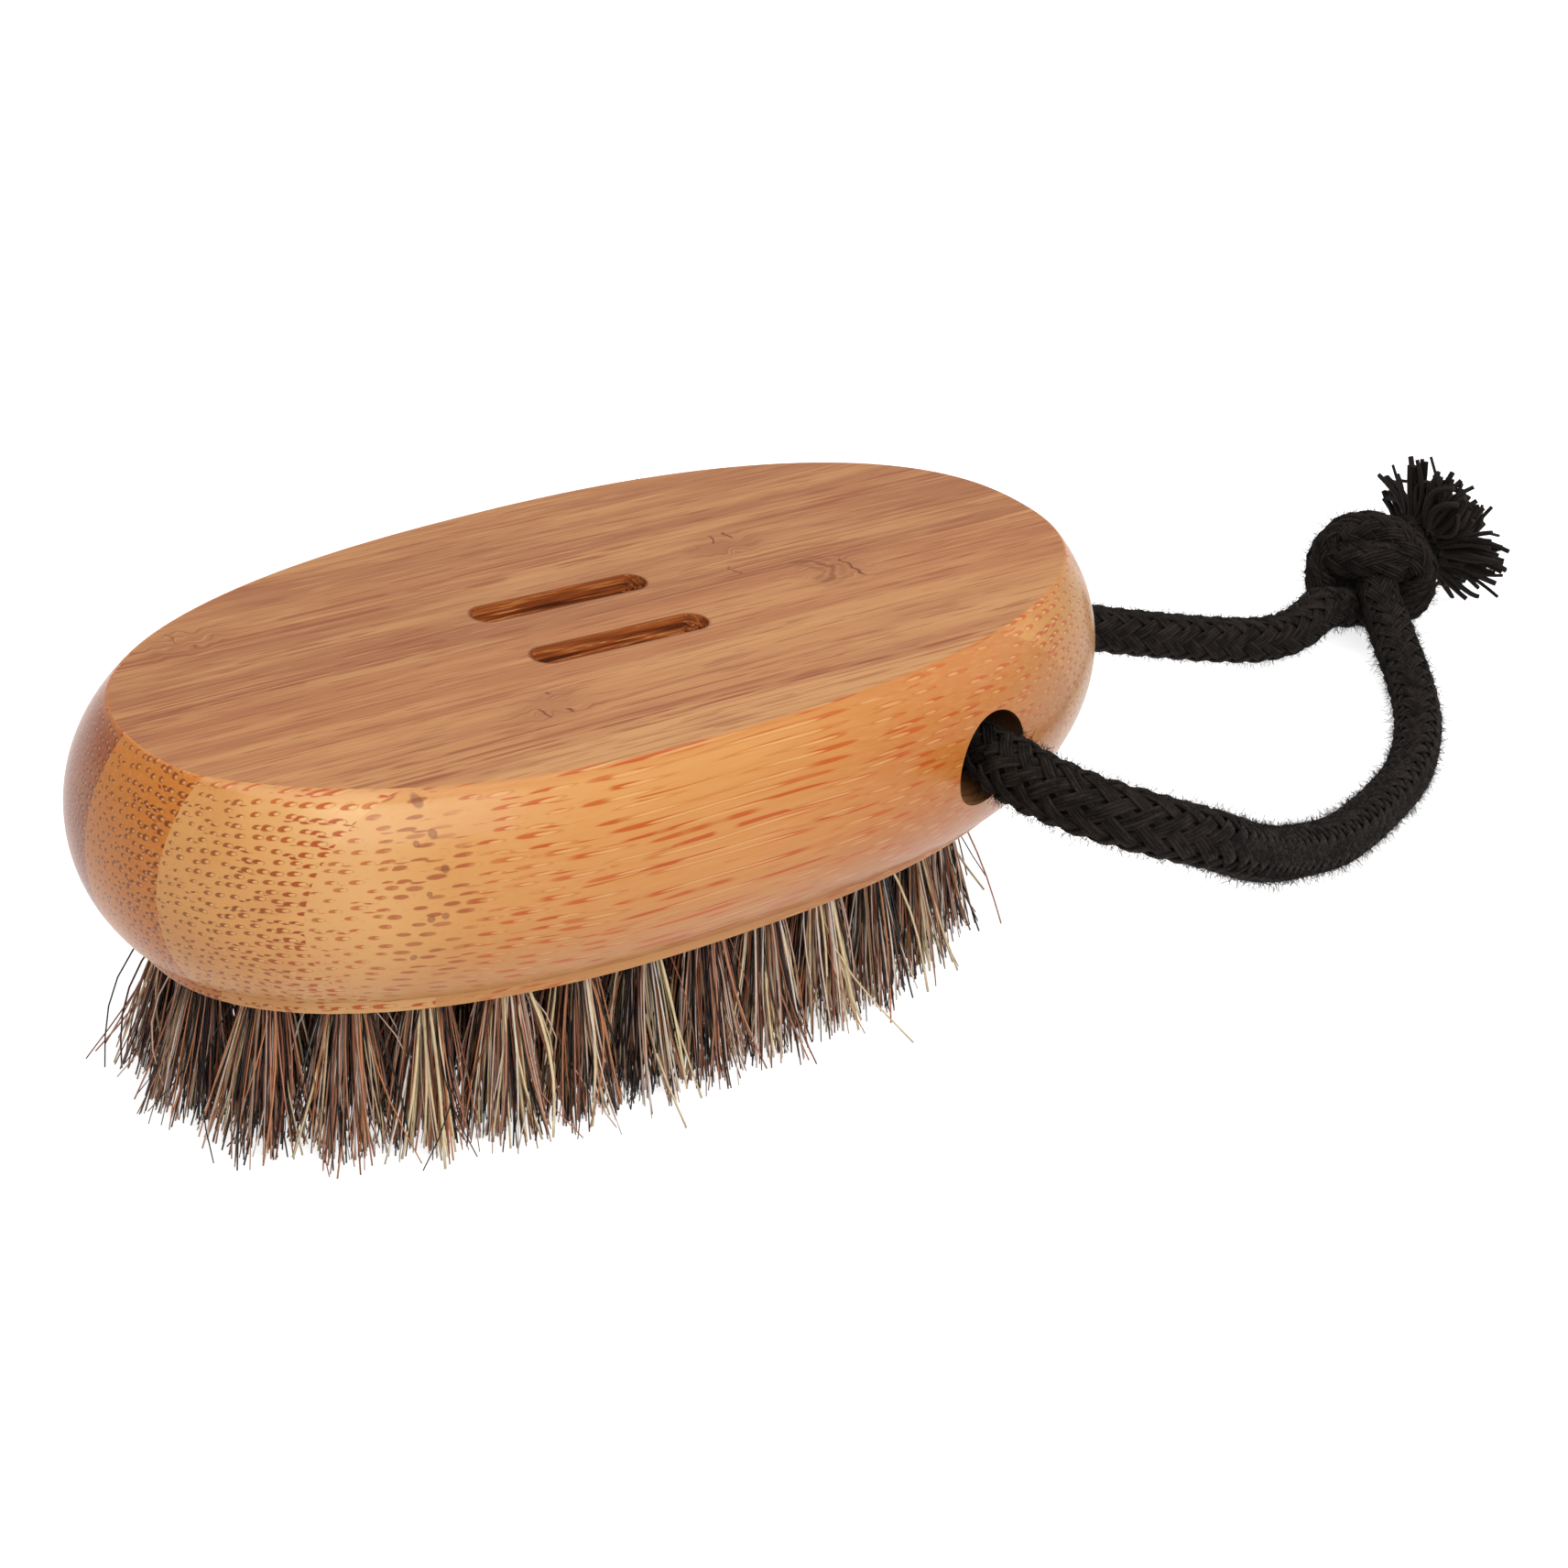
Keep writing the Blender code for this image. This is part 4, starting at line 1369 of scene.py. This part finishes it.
@dataclass
class TuftMaker:
    """Sheaf of hairs or yarns that spread from a round root."""

    hairs: int = 230
    root_radius: float = 1.7 * MM
    hair_radius: float = 0.11 * MM
    stray: float = 1.25 * MM
    bow: float = 0.7 * MM
    upright_share: float = 0.4
    ragged_share: float = 0.09
    dome_share: float = 0.0
    taper_share: float = 0.25
    clump: float = 0.42
    clump_density: float = 3.0
    clump_shift: tuple[float, float] = (3.7, 1.9)
    clump_tone: float = 0.5
    blotch_rate: float = 1.3
    blotch_strength: float = 1.1
    pale_tone: float = 0.9
    pale_thickening: float = 0.5
    thinnest: float = 0.65
    thickest: float = 1.25
    wild_above: float = 0.89
    wild_gain: float = 2.0
    wilder_above: float = 0.985
    wilder_gain: float = 2.4
    spread_power: float = 1.15
    seed_step: float = 71.0
    profile_sides: int = 3
    levels: int = 7
    tree: Tree | None = None

    def prepare(self, name: str, material: bpy.types.Material) -> None:
        """Build the tree that every sheaf of this kind runs.

        Args:
            name: The tree's name.
            material: The sheaf's material.
        """
        nowhere = Vector((0, 0, 0))
        self.tree = tree = Tree(name, {
            "Length": 0.0, "Tip Radius": 0.0, "Tone High": 1.0, "Place": nowhere,
            "Lean": nowhere, "Turn": nowhere, "Seed": 1,
        })
        given = tree.given
        points, kept = self._points()
        hairs, factor = tree.copies(points, self.levels, Vector((0, 0, 1)))
        spread = factor ** self.spread_power
        radius = spread * (given["Tip Radius"] - self.root_radius) + self.root_radius
        flat = (kept["spot"] + kept["pull"] * (factor * factor)) * radius
        flat = flat + given["Lean"] * spread + kept["stray"] * spread
        flat = flat + kept["bow"] * (factor * math.pi).math("SINE")
        x, y, _ = flat.parts()
        drop = factor * given["Length"] * (kept["shorter"] - 1.0)
        hairs = tree.move(hairs, Position=tree.combine(x, y, drop))
        hairs = tree.store(hairs, "tone", kept["tone"])
        hairs = tree.store(hairs, "along", factor)
        thick = kept["thick"] * (factor * -self.taper_share + 1.0) * self.hair_radius
        tree.close([tree.get("GeometryNodeTransform", {
            "Geometry": tree.tube(hairs, self.profile_sides, thick),
            "Translation": given["Place"], "Rotation": given["Turn"],
        })], material)

    def _points(self) -> tuple[Wire, dict[str, Wire]]:
        """A point for each hair, with the hair's own place, tone, stray and thickness."""
        tree, seed = self.tree, self.tree.given["Seed"]
        seeds = [seed + number * self.seed_step for number in range(6)]
        index = tree.get("GeometryNodeInputIndex")
        angle = index * GOLDEN_ANGLE
        share = ((index + 0.5) / self.hairs).math("SQRT")
        spot = tree.combine(angle.math("COSINE") * share, angle.math("SINE") * share)
        aside = tree.combine(*(seed * rate for rate in self.clump_shift))
        middle, luck = tree.cells(spot + aside, self.clump_density, 1.0)
        common = luck - Vector((0.5, 0.5, 0.5))
        blotch = tree.noise(spot * self.blotch_rate + tree.combine(0.0, 0.0, seed))
        tone = (blotch - 0.5) * self.blotch_strength + tree.random(0.0, 1.0, seeds[0])
        tone = (common.parts()[0] * self.clump_tone + tone).clamped() * tree.given["Tone High"]
        unit = Vector((1, 1, self.upright_share))
        luck = tree.random(0.0, 1.0, seeds[1])
        wildness = (luck > self.wild_above) * self.wild_gain + 1.0
        wildness = (luck > self.wilder_above) * self.wilder_gain + wildness
        ragged = tree.random(0.0, 1.0, seeds[4]) * self.ragged_share
        return tree.capture(tree.get("GeometryNodePoints", {"Count": self.hairs}), {
            "spot": spot, "tone": tone, "pull": (middle - aside - spot) * self.clump,
            "stray": tree.random(-unit, unit, seeds[2]) * self.stray * wildness
            + common * self.stray,
            "bow": tree.random(-unit, unit, seeds[3]) * self.bow * wildness,
            "shorter": share * share * self.dome_share + ragged,
            "thick": tree.random(self.thinnest, self.thickest, seeds[5])
            * ((tone > self.pale_tone) * self.pale_thickening + 1.0),
        })

    def make(self, name: str, values: dict) -> bpy.types.Object:
        """Make one sheaf as a plain mesh."""
        return self.tree.make(name, bpy.data.meshes.new(name), values)


@dataclass
class BristleField:
    """All the tufts, each at its own node's root and lean."""

    hair_start: float = 1.2 * MM
    tip_clearance: float = 0.2 * MM
    level_slack: float = 0.1 * MM
    outer_spread: float = 4.5 * MM
    inner_spread: float = 4.8 * MM
    first_seed: int = 11
    seed_step: int = 13
    dark_start: float = 15.6 * MM
    dark_length: float = 52.0 * MM
    dark_share: float = 0.14
    maker: TuftMaker = field(default_factory=TuftMaker)
    nodes: list[str] = field(default_factory=lambda: sorted(
        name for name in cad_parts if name.startswith("tuft_")))

    def roots(self) -> Places:
        """Middle of each tuft's round root, from the highest corners of its node."""
        return [self._level_middle(name, highest=True) for name in self.nodes]

    def _level_middle(self, name: str, highest: bool) -> Vector:
        """Middle of the corners at a node's highest or lowest level.

        Args:
            name: The node.
            highest: Whether the highest level is meant.

        Returns:
            The middle.
        """
        low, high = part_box(name)
        level = high[2] if highest else low[2]
        corners = [vert.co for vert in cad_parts[name].data.vertices
                   if abs(vert.co.z - level) < self.level_slack]
        return sum(corners, Vector()) / len(corners)

    def build(self, underside: float) -> None:
        """Make every tuft and let it stand for its node.

        Args:
            underside: Height of the block's underside.
        """
        self.maker.prepare("bristle_tuft", BristleFinish().build())
        start = underside + self.hair_start
        for number, (node, root) in enumerate(zip(self.nodes, self.roots())):
            tip = self._level_middle(node, highest=False)
            darkness = max(0.0, (-root.x - self.dark_start) / self.dark_length)
            piece = self.maker.make(node.replace("tuft", "hair"), {
                "Place": Vector((root.x, root.y, start)),
                "Lean": Vector((tip.x - root.x, tip.y - root.y, 0.0)),
                "Seed": self.first_seed + number * self.seed_step,
                "Length": start - self.tip_clearance,
                "Tip Radius": self.outer_spread if "outer" in node else self.inner_spread,
                "Tone High": 1.0 - darkness * self.dark_share,
            })
            finish_piece(piece, BRUSH_BODY, node)


@dataclass
class PlaitMaker:
    """Hollow two-over-two plait of many yarns round a path."""

    carriers: int = 8
    yarns: int = 4
    radius: float = 2.72 * MM
    swell_length: float = 32.0 * MM
    pitch: float = 21.0 * MM
    depth: float = 0.26 * MM
    yarn_radius: float = 0.22 * MM
    yarn_spacing: float = 0.38 * MM
    yarn_sides: int = 4
    core_sides: int = 10
    skin_sides: int = 12
    fibre_sides: int = 3
    tremble: float = 0.16 * MM
    tremble_rate: float = 420.0
    step: float = 0.72 * MM
    fuzz_density: float = 5.2e6
    fuzz_length: float = 1.15 * MM
    fuzz_radius: float = 0.02 * MM
    fuzz_scatter: float = 1.3
    fuzz_bend: float = 0.35
    fuzz_shortest: float = 0.55
    fuzz_power: float = 3.5
    seed_step: float = 37.0
    tree: Tree | None = None

    def prepare(self, material: bpy.types.Material) -> None:
        """Build the tree that every stretch of cord runs."""
        self.tree = tree = Tree("plaited_cord", {
            "Radius": self.radius, "Swell Share": 0.0, "Fuzz Density": self.fuzz_density,
            "Fuzz Length": self.fuzz_length, "Seed": 1,
        })
        feeds = {"Curve": tree.given["Geometry"], "Length": self.step}
        path = tree.get("GeometryNodeResampleCurve", feeds, mode="LENGTH")
        path = tree.get("GeometryNodeSetCurveNormal", {"Curve": path}, mode="Z_UP")
        tangent = tree.get("GeometryNodeInputTangent")
        normal = tree.get("GeometryNodeInputNormal")
        path, kept = tree.capture(path, {
            "normal": normal, "side": tree.vector("CROSS_PRODUCT", tangent, normal),
            "length": tree.get("GeometryNodeSplineParameter", output="Length"),
        })
        swell = (kept["length"] / -self.swell_length).math("EXPONENT")
        radius = tree.given["Radius"] * (swell * tree.given["Swell Share"] + 1.0)
        middle = radius - (self.depth + self.yarn_radius)
        tree.close([
            self._yarns(path, kept, middle),
            tree.tube(path, self.core_sides, middle - self.depth),
            self._fuzz(tree.tube(path, self.skin_sides, radius)),
        ], material)

    def _yarns(self, path: Wire, kept: dict[str, Wire], middle: Wire) -> Wire:
        """Yarns that wind both ways and pass over and under each other.

        Args:
            path: The cord's path.
            kept: The path's normal, side and length at each point.
            middle: How far from the path the yarns wind.

        Returns:
            The yarns as tubes.
        """
        tree, seed = self.tree, self.tree.given["Seed"]
        feeds = {"Geometry": path, "Amount": 2 * self.carriers * self.yarns}
        copies = tree.add("GeometryNodeDuplicateElements", feeds, domain="SPLINE")
        number = tree.out(copies, "Duplicate Index")
        ribbon = ((number + 0.25) / self.yarns).math("FLOOR")
        hand = ribbon.math("MODULO", 2.0) * 2.0 - 1.0
        phase = (ribbon * 0.5 + 0.1).math("FLOOR") * FULL_TURN / self.carriers
        angle = kept["length"] / self.pitch * FULL_TURN * hand + phase
        wave = (angle * (self.carriers / 2) - math.pi / 4).math("COSINE")
        centred = number - ribbon * self.yarns - (self.yarns - 1) / 2
        angle = angle + centred * self.yarn_spacing / middle
        outward = kept["normal"] * angle.math("COSINE") + kept["side"] * angle.math("SINE")
        uneven = tree.noise(tree.combine(kept["length"] * self.tremble_rate, number, seed))
        uneven = uneven * self.tremble - self.tremble / 2
        away = middle + wave * hand * self.depth + uneven
        moved = tree.move(tree.out(copies), Offset=outward * away)
        moved = tree.store(moved, "tone", tree.random(0.0, 1.0, seed))
        return tree.tube(moved, self.yarn_sides, self.yarn_radius)

    def _fuzz(self, skin: Wire) -> Wire:
        """Loose fibres that stand off the cord, above the floor.

        Args:
            skin: The cord's outer surface.

        Returns:
            The fibres as tubes.
        """
        tree, given = self.tree, self.tree.given
        points = tree.add("GeometryNodeDistributePointsOnFaces", {
            "Mesh": skin, "Density": given["Fuzz Density"], "Seed": given["Seed"],
        })
        seeds = [given["Seed"] + number * self.seed_step for number in (1, 2, 3)]
        unit = Vector((1, 1, 1))
        bend = unit * self.fuzz_bend
        heading = tree.out(points, "Normal") + tree.random(-unit, unit, seeds[0]) * self.fuzz_scatter
        reach = tree.random(self.fuzz_shortest, 1.0, seeds[1]) ** self.fuzz_power
        reach = reach * given["Fuzz Length"]
        placed, kept = tree.capture(tree.out(points), {
            "heading": tree.vector("NORMALIZE", heading) * reach,
            "curl": tree.random(-bend, bend, seeds[2]) * reach,
        })
        fibres, factor = tree.copies(placed, 2, Vector((0, 0, 0.001 * MM)))
        offset = kept["heading"] * factor + kept["curl"] * (factor * factor)
        fibres = tree.move(fibres, Offset=offset)
        x, y, z = tree.get("GeometryNodeInputPosition").parts()
        above = tree.combine(x, y, z.math("MAXIMUM", self.fuzz_radius * 2))
        fibres = tree.move(fibres, Position=above)
        return tree.tube(fibres, self.fibre_sides, self.fuzz_radius)

    def make(self, name: str, routes: list[Places], values: dict) -> bpy.types.Object:
        """Plait a cord along one or more routes.

        Args:
            name: The piece's name.
            routes: The points of each stretch.
            values: Inputs of the tree that differ from its defaults.

        Returns:
            The cord as a plain mesh.
        """
        curve = bpy.data.curves.new(name, "CURVE")
        curve.dimensions = "3D"
        for route in routes:
            spline = curve.splines.new("POLY")
            spline.points.add(len(route) - 1)
            for spot, place in zip(spline.points, route):
                spot.co = (*place, 1.0)
        return self.tree.make(name, curve, values)


def vector_field(*values: float, scale: float = 1.0) -> Vector:
    """Dataclass field that holds a vector."""
    return field(default_factory=lambda: Vector(values) * scale)


@dataclass
class CordLoop:
    """Black cotton cord through the bore, its two free runs, knot and frayed ends.

    Routes are in millimetres, and the knot's strands in millimetres right, up and towards the
    camera from the knot's middle.
    """

    diameter: float = 5.4 * MM
    bore_radius: float = 2.95 * MM
    front_swell: float = 0.24
    back_swell: float = 0.04
    back_fuzz: float = 0.8 * MM
    end_gap: float = 0.3 * MM
    floor_clearance: float = 0.05 * MM
    mouth: Vector = vector_field(27.548, 26.3, 28.161, scale=MM)
    knot_centre: Vector = vector_field(125.5, 17.0, 7.3, scale=MM)
    knot_reach: float = 9.8 * MM
    front_entry: Vector = vector_field(-0.510, -0.832, -0.180)
    back_entry: Vector = vector_field(-0.955, -0.235, -0.180)
    fray_direction: Vector = vector_field(0.918, -0.043, 0.394)
    front_route: tuple = (
        (27.6, -30.6, 28.1), (29.4, -36.4, 27.8), (33.6, -40.5, 26.6), (39.6, -42.0, 24.1),
        (46.4, -40.4, 20.1), (53.6, -37.1, 15.8), (63.0, -32.6, 11.0), (74.6, -28.3, 6.9),
        (87.2, -22.4, 4.1), (98.0, -16.9, 3.1), (106.5, -10.3, 3.1), (112.7, -3.2, 3.6),
    )
    back_route: tuple = (
        (27.6, 30.6, 28.1), (29.4, 36.4, 27.6), (33.6, 40.5, 26.5), (39.6, 41.8, 24.7),
        (46.8, 39.6, 22.1), (56.0, 34.6, 18.2), (67.0, 28.3, 13.8), (75.0, 23.6, 11.1),
        (83.2, 19.6, 8.8), (92.2, 16.6, 6.8), (99.0, 14.5, 5.5), (105.0, 13.2, 4.6),
    )
    right: Vector = vector_field(0.78293, -0.61821, 0.06962)
    up: Vector = vector_field(0.24730, 0.41196, 0.87700)
    back: Vector = vector_field(-0.57085, -0.66941, 0.47542)
    knot_cord_radius: float = 2.5 * MM
    knot_core: tuple[float, float, float] = (6.0 * MM, 5.0 * MM, 4.4 * MM)
    knot_strands: tuple = (
        ((-3.9, -4.6, -0.5), (-5.0, -2.2, 0.5), (-5.0, 0.6, 1.2), (-3.6, 3.2, 1.8),
         (-0.8, 4.2, 2.6), (2.4, 3.4, 3.4), (4.8, 1.2, 3.6), (5.6, -1.4, 3.0),
         (4.6, -4.0, 1.6), (2.0, -4.5, -0.6), (-1.2, -4.4, -1.4), (-3.9, -4.6, -0.5)),
        ((-4.6, 0.9, 0.0), (-3.6, 0.8, 2.2), (-1.2, 0.6, 4.2), (1.6, 0.4, 4.8), (4.0, 0.0, 1.5),
         (5.2, 0.2, 0.0), (3.5, 0.6, -3.6), (0.0, 0.8, -4.6), (-3.6, 0.8, -3.0),
         (-4.6, 0.9, 0.0)),
        ((1.0, -6.4, 7.8), (0.6, -3.2, 5.0), (0.3, -1.0, 1.0)),
        ((-6.2, -5.0, 6.2), (-3.4, -4.9, 3.4), (0.2, -4.6, 1.5), (3.0, -4.0, 0.5)),
        ((1.5, 1.0, 0.0), (4.4, 3.0, -1.4), (6.5, 4.7, -2.6)),
    )
    fray_start: tuple[float, float, float] = (7.0, 3.0, -2.6)
    sample_step: float = 1.2 * MM
    maker: PlaitMaker = field(default_factory=PlaitMaker)
    fray_maker: TuftMaker = field(default_factory=lambda: TuftMaker(
        hairs=190, root_radius=3.4 * MM, hair_radius=0.38 * MM, stray=0.8 * MM, bow=1.1 * MM,
        ragged_share=0.22, dome_share=0.66, clump=0.5, clump_density=1.9, levels=8,
        profile_sides=5,
    ))

    def build(self) -> None:
        """Make every piece of the loop."""
        cotton = CottonFinish().build()
        self.maker.prepare(cotton)
        self._bore_run()
        knot = self._knot()
        ends = self._frayed_ends(cotton)
        self._free_run("front", -1, self.front_route, self.front_entry,
                       {"Swell Share": self.front_swell})
        self._free_run("back", 1, self.back_route, self.back_entry,
                       {"Swell Share": self.back_swell, "Fuzz Length": self.back_fuzz})

    def _bore_run(self) -> None:
        """Cord inside the block."""
        inside = self.mouth.y - self.end_gap / 2
        ends = [Vector((self.mouth.x, side * inside, self.mouth.z)) for side in (1, -1)]
        values = {"Radius": self.bore_radius, "Fuzz Density": 0.0}
        piece = self.maker.make("plait_in_bore", [ends], values)
        finish_piece(piece, LOOP_BODY, "cord_in_bore")

    def _free_run(self, name: str, side: int, route: tuple, entry: Vector, values: dict) -> None:
        """One free stretch, from a mouth of the bore to the knot.

        Args:
            name: Which run it is.
            side: The sign of its mouth's place across the block.
            route: Its chosen points in millimetres.
            entry: The way it meets the knot.
            values: Inputs of the plait's tree that differ from its defaults.
        """
        mouth = Vector((self.mouth.x, side * self.mouth.y, self.mouth.z))
        face = self.knot_centre + entry.normalized() * (self.knot_reach + self.end_gap)
        approach = face + entry.normalized() * self.diameter
        chosen = [Vector(place) * MM for place in route]
        path = smooth_route([mouth, *chosen, approach, face], self.sample_step)
        piece = self.maker.make(f"plait_{name}_run", [path], {"Seed": 5 + side, **values})
        finish_piece(piece, LOOP_BODY, f"cord_{name}_run")
        route_length(path)

    def _by_knot(self, places: tuple) -> Places:
        """Places given in millimetres right, up and towards the camera from the knot."""
        return [
            self.knot_centre + (self.right * right + self.up * up + self.back * back) * MM
            for right, up, back in places
        ]

    def _knot(self) -> bpy.types.Object:
        """Overhand knot of both ends, round a plain core."""
        routes = [smooth_route(self._by_knot(strand), self.sample_step)
                  for strand in self.knot_strands]
        piece = self.maker.make("plait_knot", routes, {"Seed": 9, "Radius": self.knot_cord_radius})
        bm = bmesh.new()
        bm.from_mesh(piece.data)
        turn = Matrix((self.right, self.up, self.back)).transposed().to_4x4()
        place = Matrix.Translation(self.knot_centre) @ turn @ Matrix.Diagonal((*self.knot_core, 1.0))
        made = bmesh.ops.create_icosphere(bm, subdivisions=3, radius=1.0, matrix=place)["verts"]
        for face in {face for vert in made for face in vert.link_faces}:
            face.material_index = piece.data.polygons[0].material_index
        bm.to_mesh(piece.data)
        bm.free()
        finish_piece(piece, LOOP_BODY, "cord_knot")
        return piece

    def _frayed_ends(self, cotton: bpy.types.Material) -> bpy.types.Object:
        """Unplaited yarns that fan out past the knot."""
        self.fray_maker.prepare("frayed_yarns", cotton)
        turn = (-self.fray_direction).to_track_quat("Z", "Y").to_euler()
        piece = self.fray_maker.make("frayed_ends", {
            "Tip Radius": 10.2 * MM, "Length": 9.0 * MM, "Tone High": 0.9, "Seed": 21,
            "Place": self._by_knot((self.fray_start,))[0], "Turn": Vector(turn),
        })
        for vert in piece.data.vertices:
            vert.co.z = max(vert.co.z, self.floor_clearance)
        finish_piece(piece, LOOP_BODY, "cord_frayed_ends")
        return piece


@dataclass
class Studio:
    """White floor, soft lights and the camera at the photograph's angle."""

    azimuth: float = math.radians(-40.456)
    elevation: float = math.radians(28.386)
    roll: float = math.radians(4.539)
    target: Vector = vector_field(5.41, -20.47, 29.38, scale=MM)
    distance: float = 367.4 * MM
    lens: float = 91.09
    sensor: float = 36.0
    nearest: float = 0.01
    floor_size: float = 6.0
    floor_z: float = -0.02 * MM
    floor_grey: float = 0.8
    floor_glow: float = 0.8
    air: float = 0.24
    aim: Vector = vector_field(0, 0, 20, scale=MM)
    lamps: tuple[tuple[str, tuple[float, float, float], float, float], ...] = (
        ("key", (-0.22, -0.85, 0.75), 0.75, 6.6),
        ("above", (0.1, 0.1, 1.0), 0.8, 4.4),
        ("right", (0.8, -0.35, 0.4), 0.5, 0.8),
    )

    def build(self) -> None:
        """Set up the whole studio."""
        self._camera()
        self._world()
        self._floor()
        for name, place, size, power in self.lamps:
            self._lamp(name, Vector(place), size, power)
        bpy.context.scene.view_settings.view_transform = "Standard"

    def _camera(self) -> None:
        """Camera that frames the brush as the photograph does."""
        back = Vector((
            math.sin(self.azimuth) * math.cos(self.elevation),
            -math.cos(self.azimuth) * math.cos(self.elevation), math.sin(self.elevation),
        ))
        level = Vector((math.cos(self.azimuth), math.sin(self.azimuth), 0))
        upright = back.cross(level)
        right = level * math.cos(self.roll) + upright * math.sin(self.roll)
        up = upright * math.cos(self.roll) - level * math.sin(self.roll)
        data = bpy.data.cameras.new("camera")
        data.lens = self.lens
        data.sensor_width = self.sensor
        data.clip_start = self.nearest
        camera = link("camera", data)
        facing = Matrix((right, up, back)).transposed().to_4x4()
        camera.matrix_world = Matrix.Translation(self.target + back * self.distance) @ facing
        bpy.context.scene.camera = camera

    def _when_seen(self, graph: Graph, unseen: float, seen: float) -> Wire:
        """Strength of a white surface, where a view or a reflection sees it and elsewhere.

        Args:
            graph: The graph to add to.
            unseen: Strength elsewhere.
            seen: Strength where it is seen.

        Returns:
            The strength.
        """
        path = graph.add("ShaderNodeLightPath")
        rays = [graph.out(path, f"Is {kind} Ray") for kind in ("Camera", "Glossy", "Transmission")]
        return greatest(rays).fade(0.0, 1.0, unseen, seen, smooth=False)

    def _world(self) -> None:
        """Even pale surroundings, white where they are seen."""
        world = bpy.data.worlds.new("studio_air")
        world.use_nodes = True
        bpy.context.scene.world = world
        graph = Graph(world.node_tree)
        graph.fill(world.node_tree.nodes["Background"], {
            "Color": (1.0, 1.0, 1.0, 1.0), "Strength": self._when_seen(graph, self.air, 1.0),
        })

    def _floor(self) -> None:
        """Wide white floor that keeps the brush's soft shadow."""
        bm = bmesh.new()
        bmesh.ops.create_grid(bm, x_segments=2, y_segments=2, size=self.floor_size / 2)
        bmesh.ops.translate(bm, vec=(0, 0, self.floor_z), verts=bm.verts)
        floor = link_mesh("floor", bm)
        material, graph, shader = new_material("white_floor")
        graph.fill(shader, {
            "Base Color": (self.floor_grey, self.floor_grey, self.floor_grey, 1.0),
            "Roughness": 0.9, "Specular IOR Level": 0.0, "Emission Color": (1.0, 1.0, 1.0, 1.0),
            "Emission Strength": self._when_seen(graph, 0.0, self.floor_glow),
        })
        floor.data.materials.append(material)

    def _lamp(self, name: str, place: Vector, size: float, power: float) -> None:
        """Square soft lamp aimed at the brush.

        Args:
            name: The lamp's name.
            place: Where it hangs, in metres.
            size: Its side.
            power: Its power in watts.
        """
        data = bpy.data.lights.new(name, "AREA")
        data.shape = "SQUARE"
        data.size = size
        data.energy = power
        turn = (place - self.aim).to_track_quat("Z", "Y").to_matrix().to_4x4()
        link(name, data).matrix_world = Matrix.Translation(place) @ turn


def main() -> None:
    """Build the brush, its loop and the studio, piece by piece."""
    logging.basicConfig(level=logging.INFO, format="%(name)s: %(message)s")
    Studio().build()
    bristles = BristleField()
    block = BambooBlock(roots=bristles.roots())
    CordLoop().build()
    block.build()
    bristles.build(block.underside)


if __name__ == "__main__":
    main()
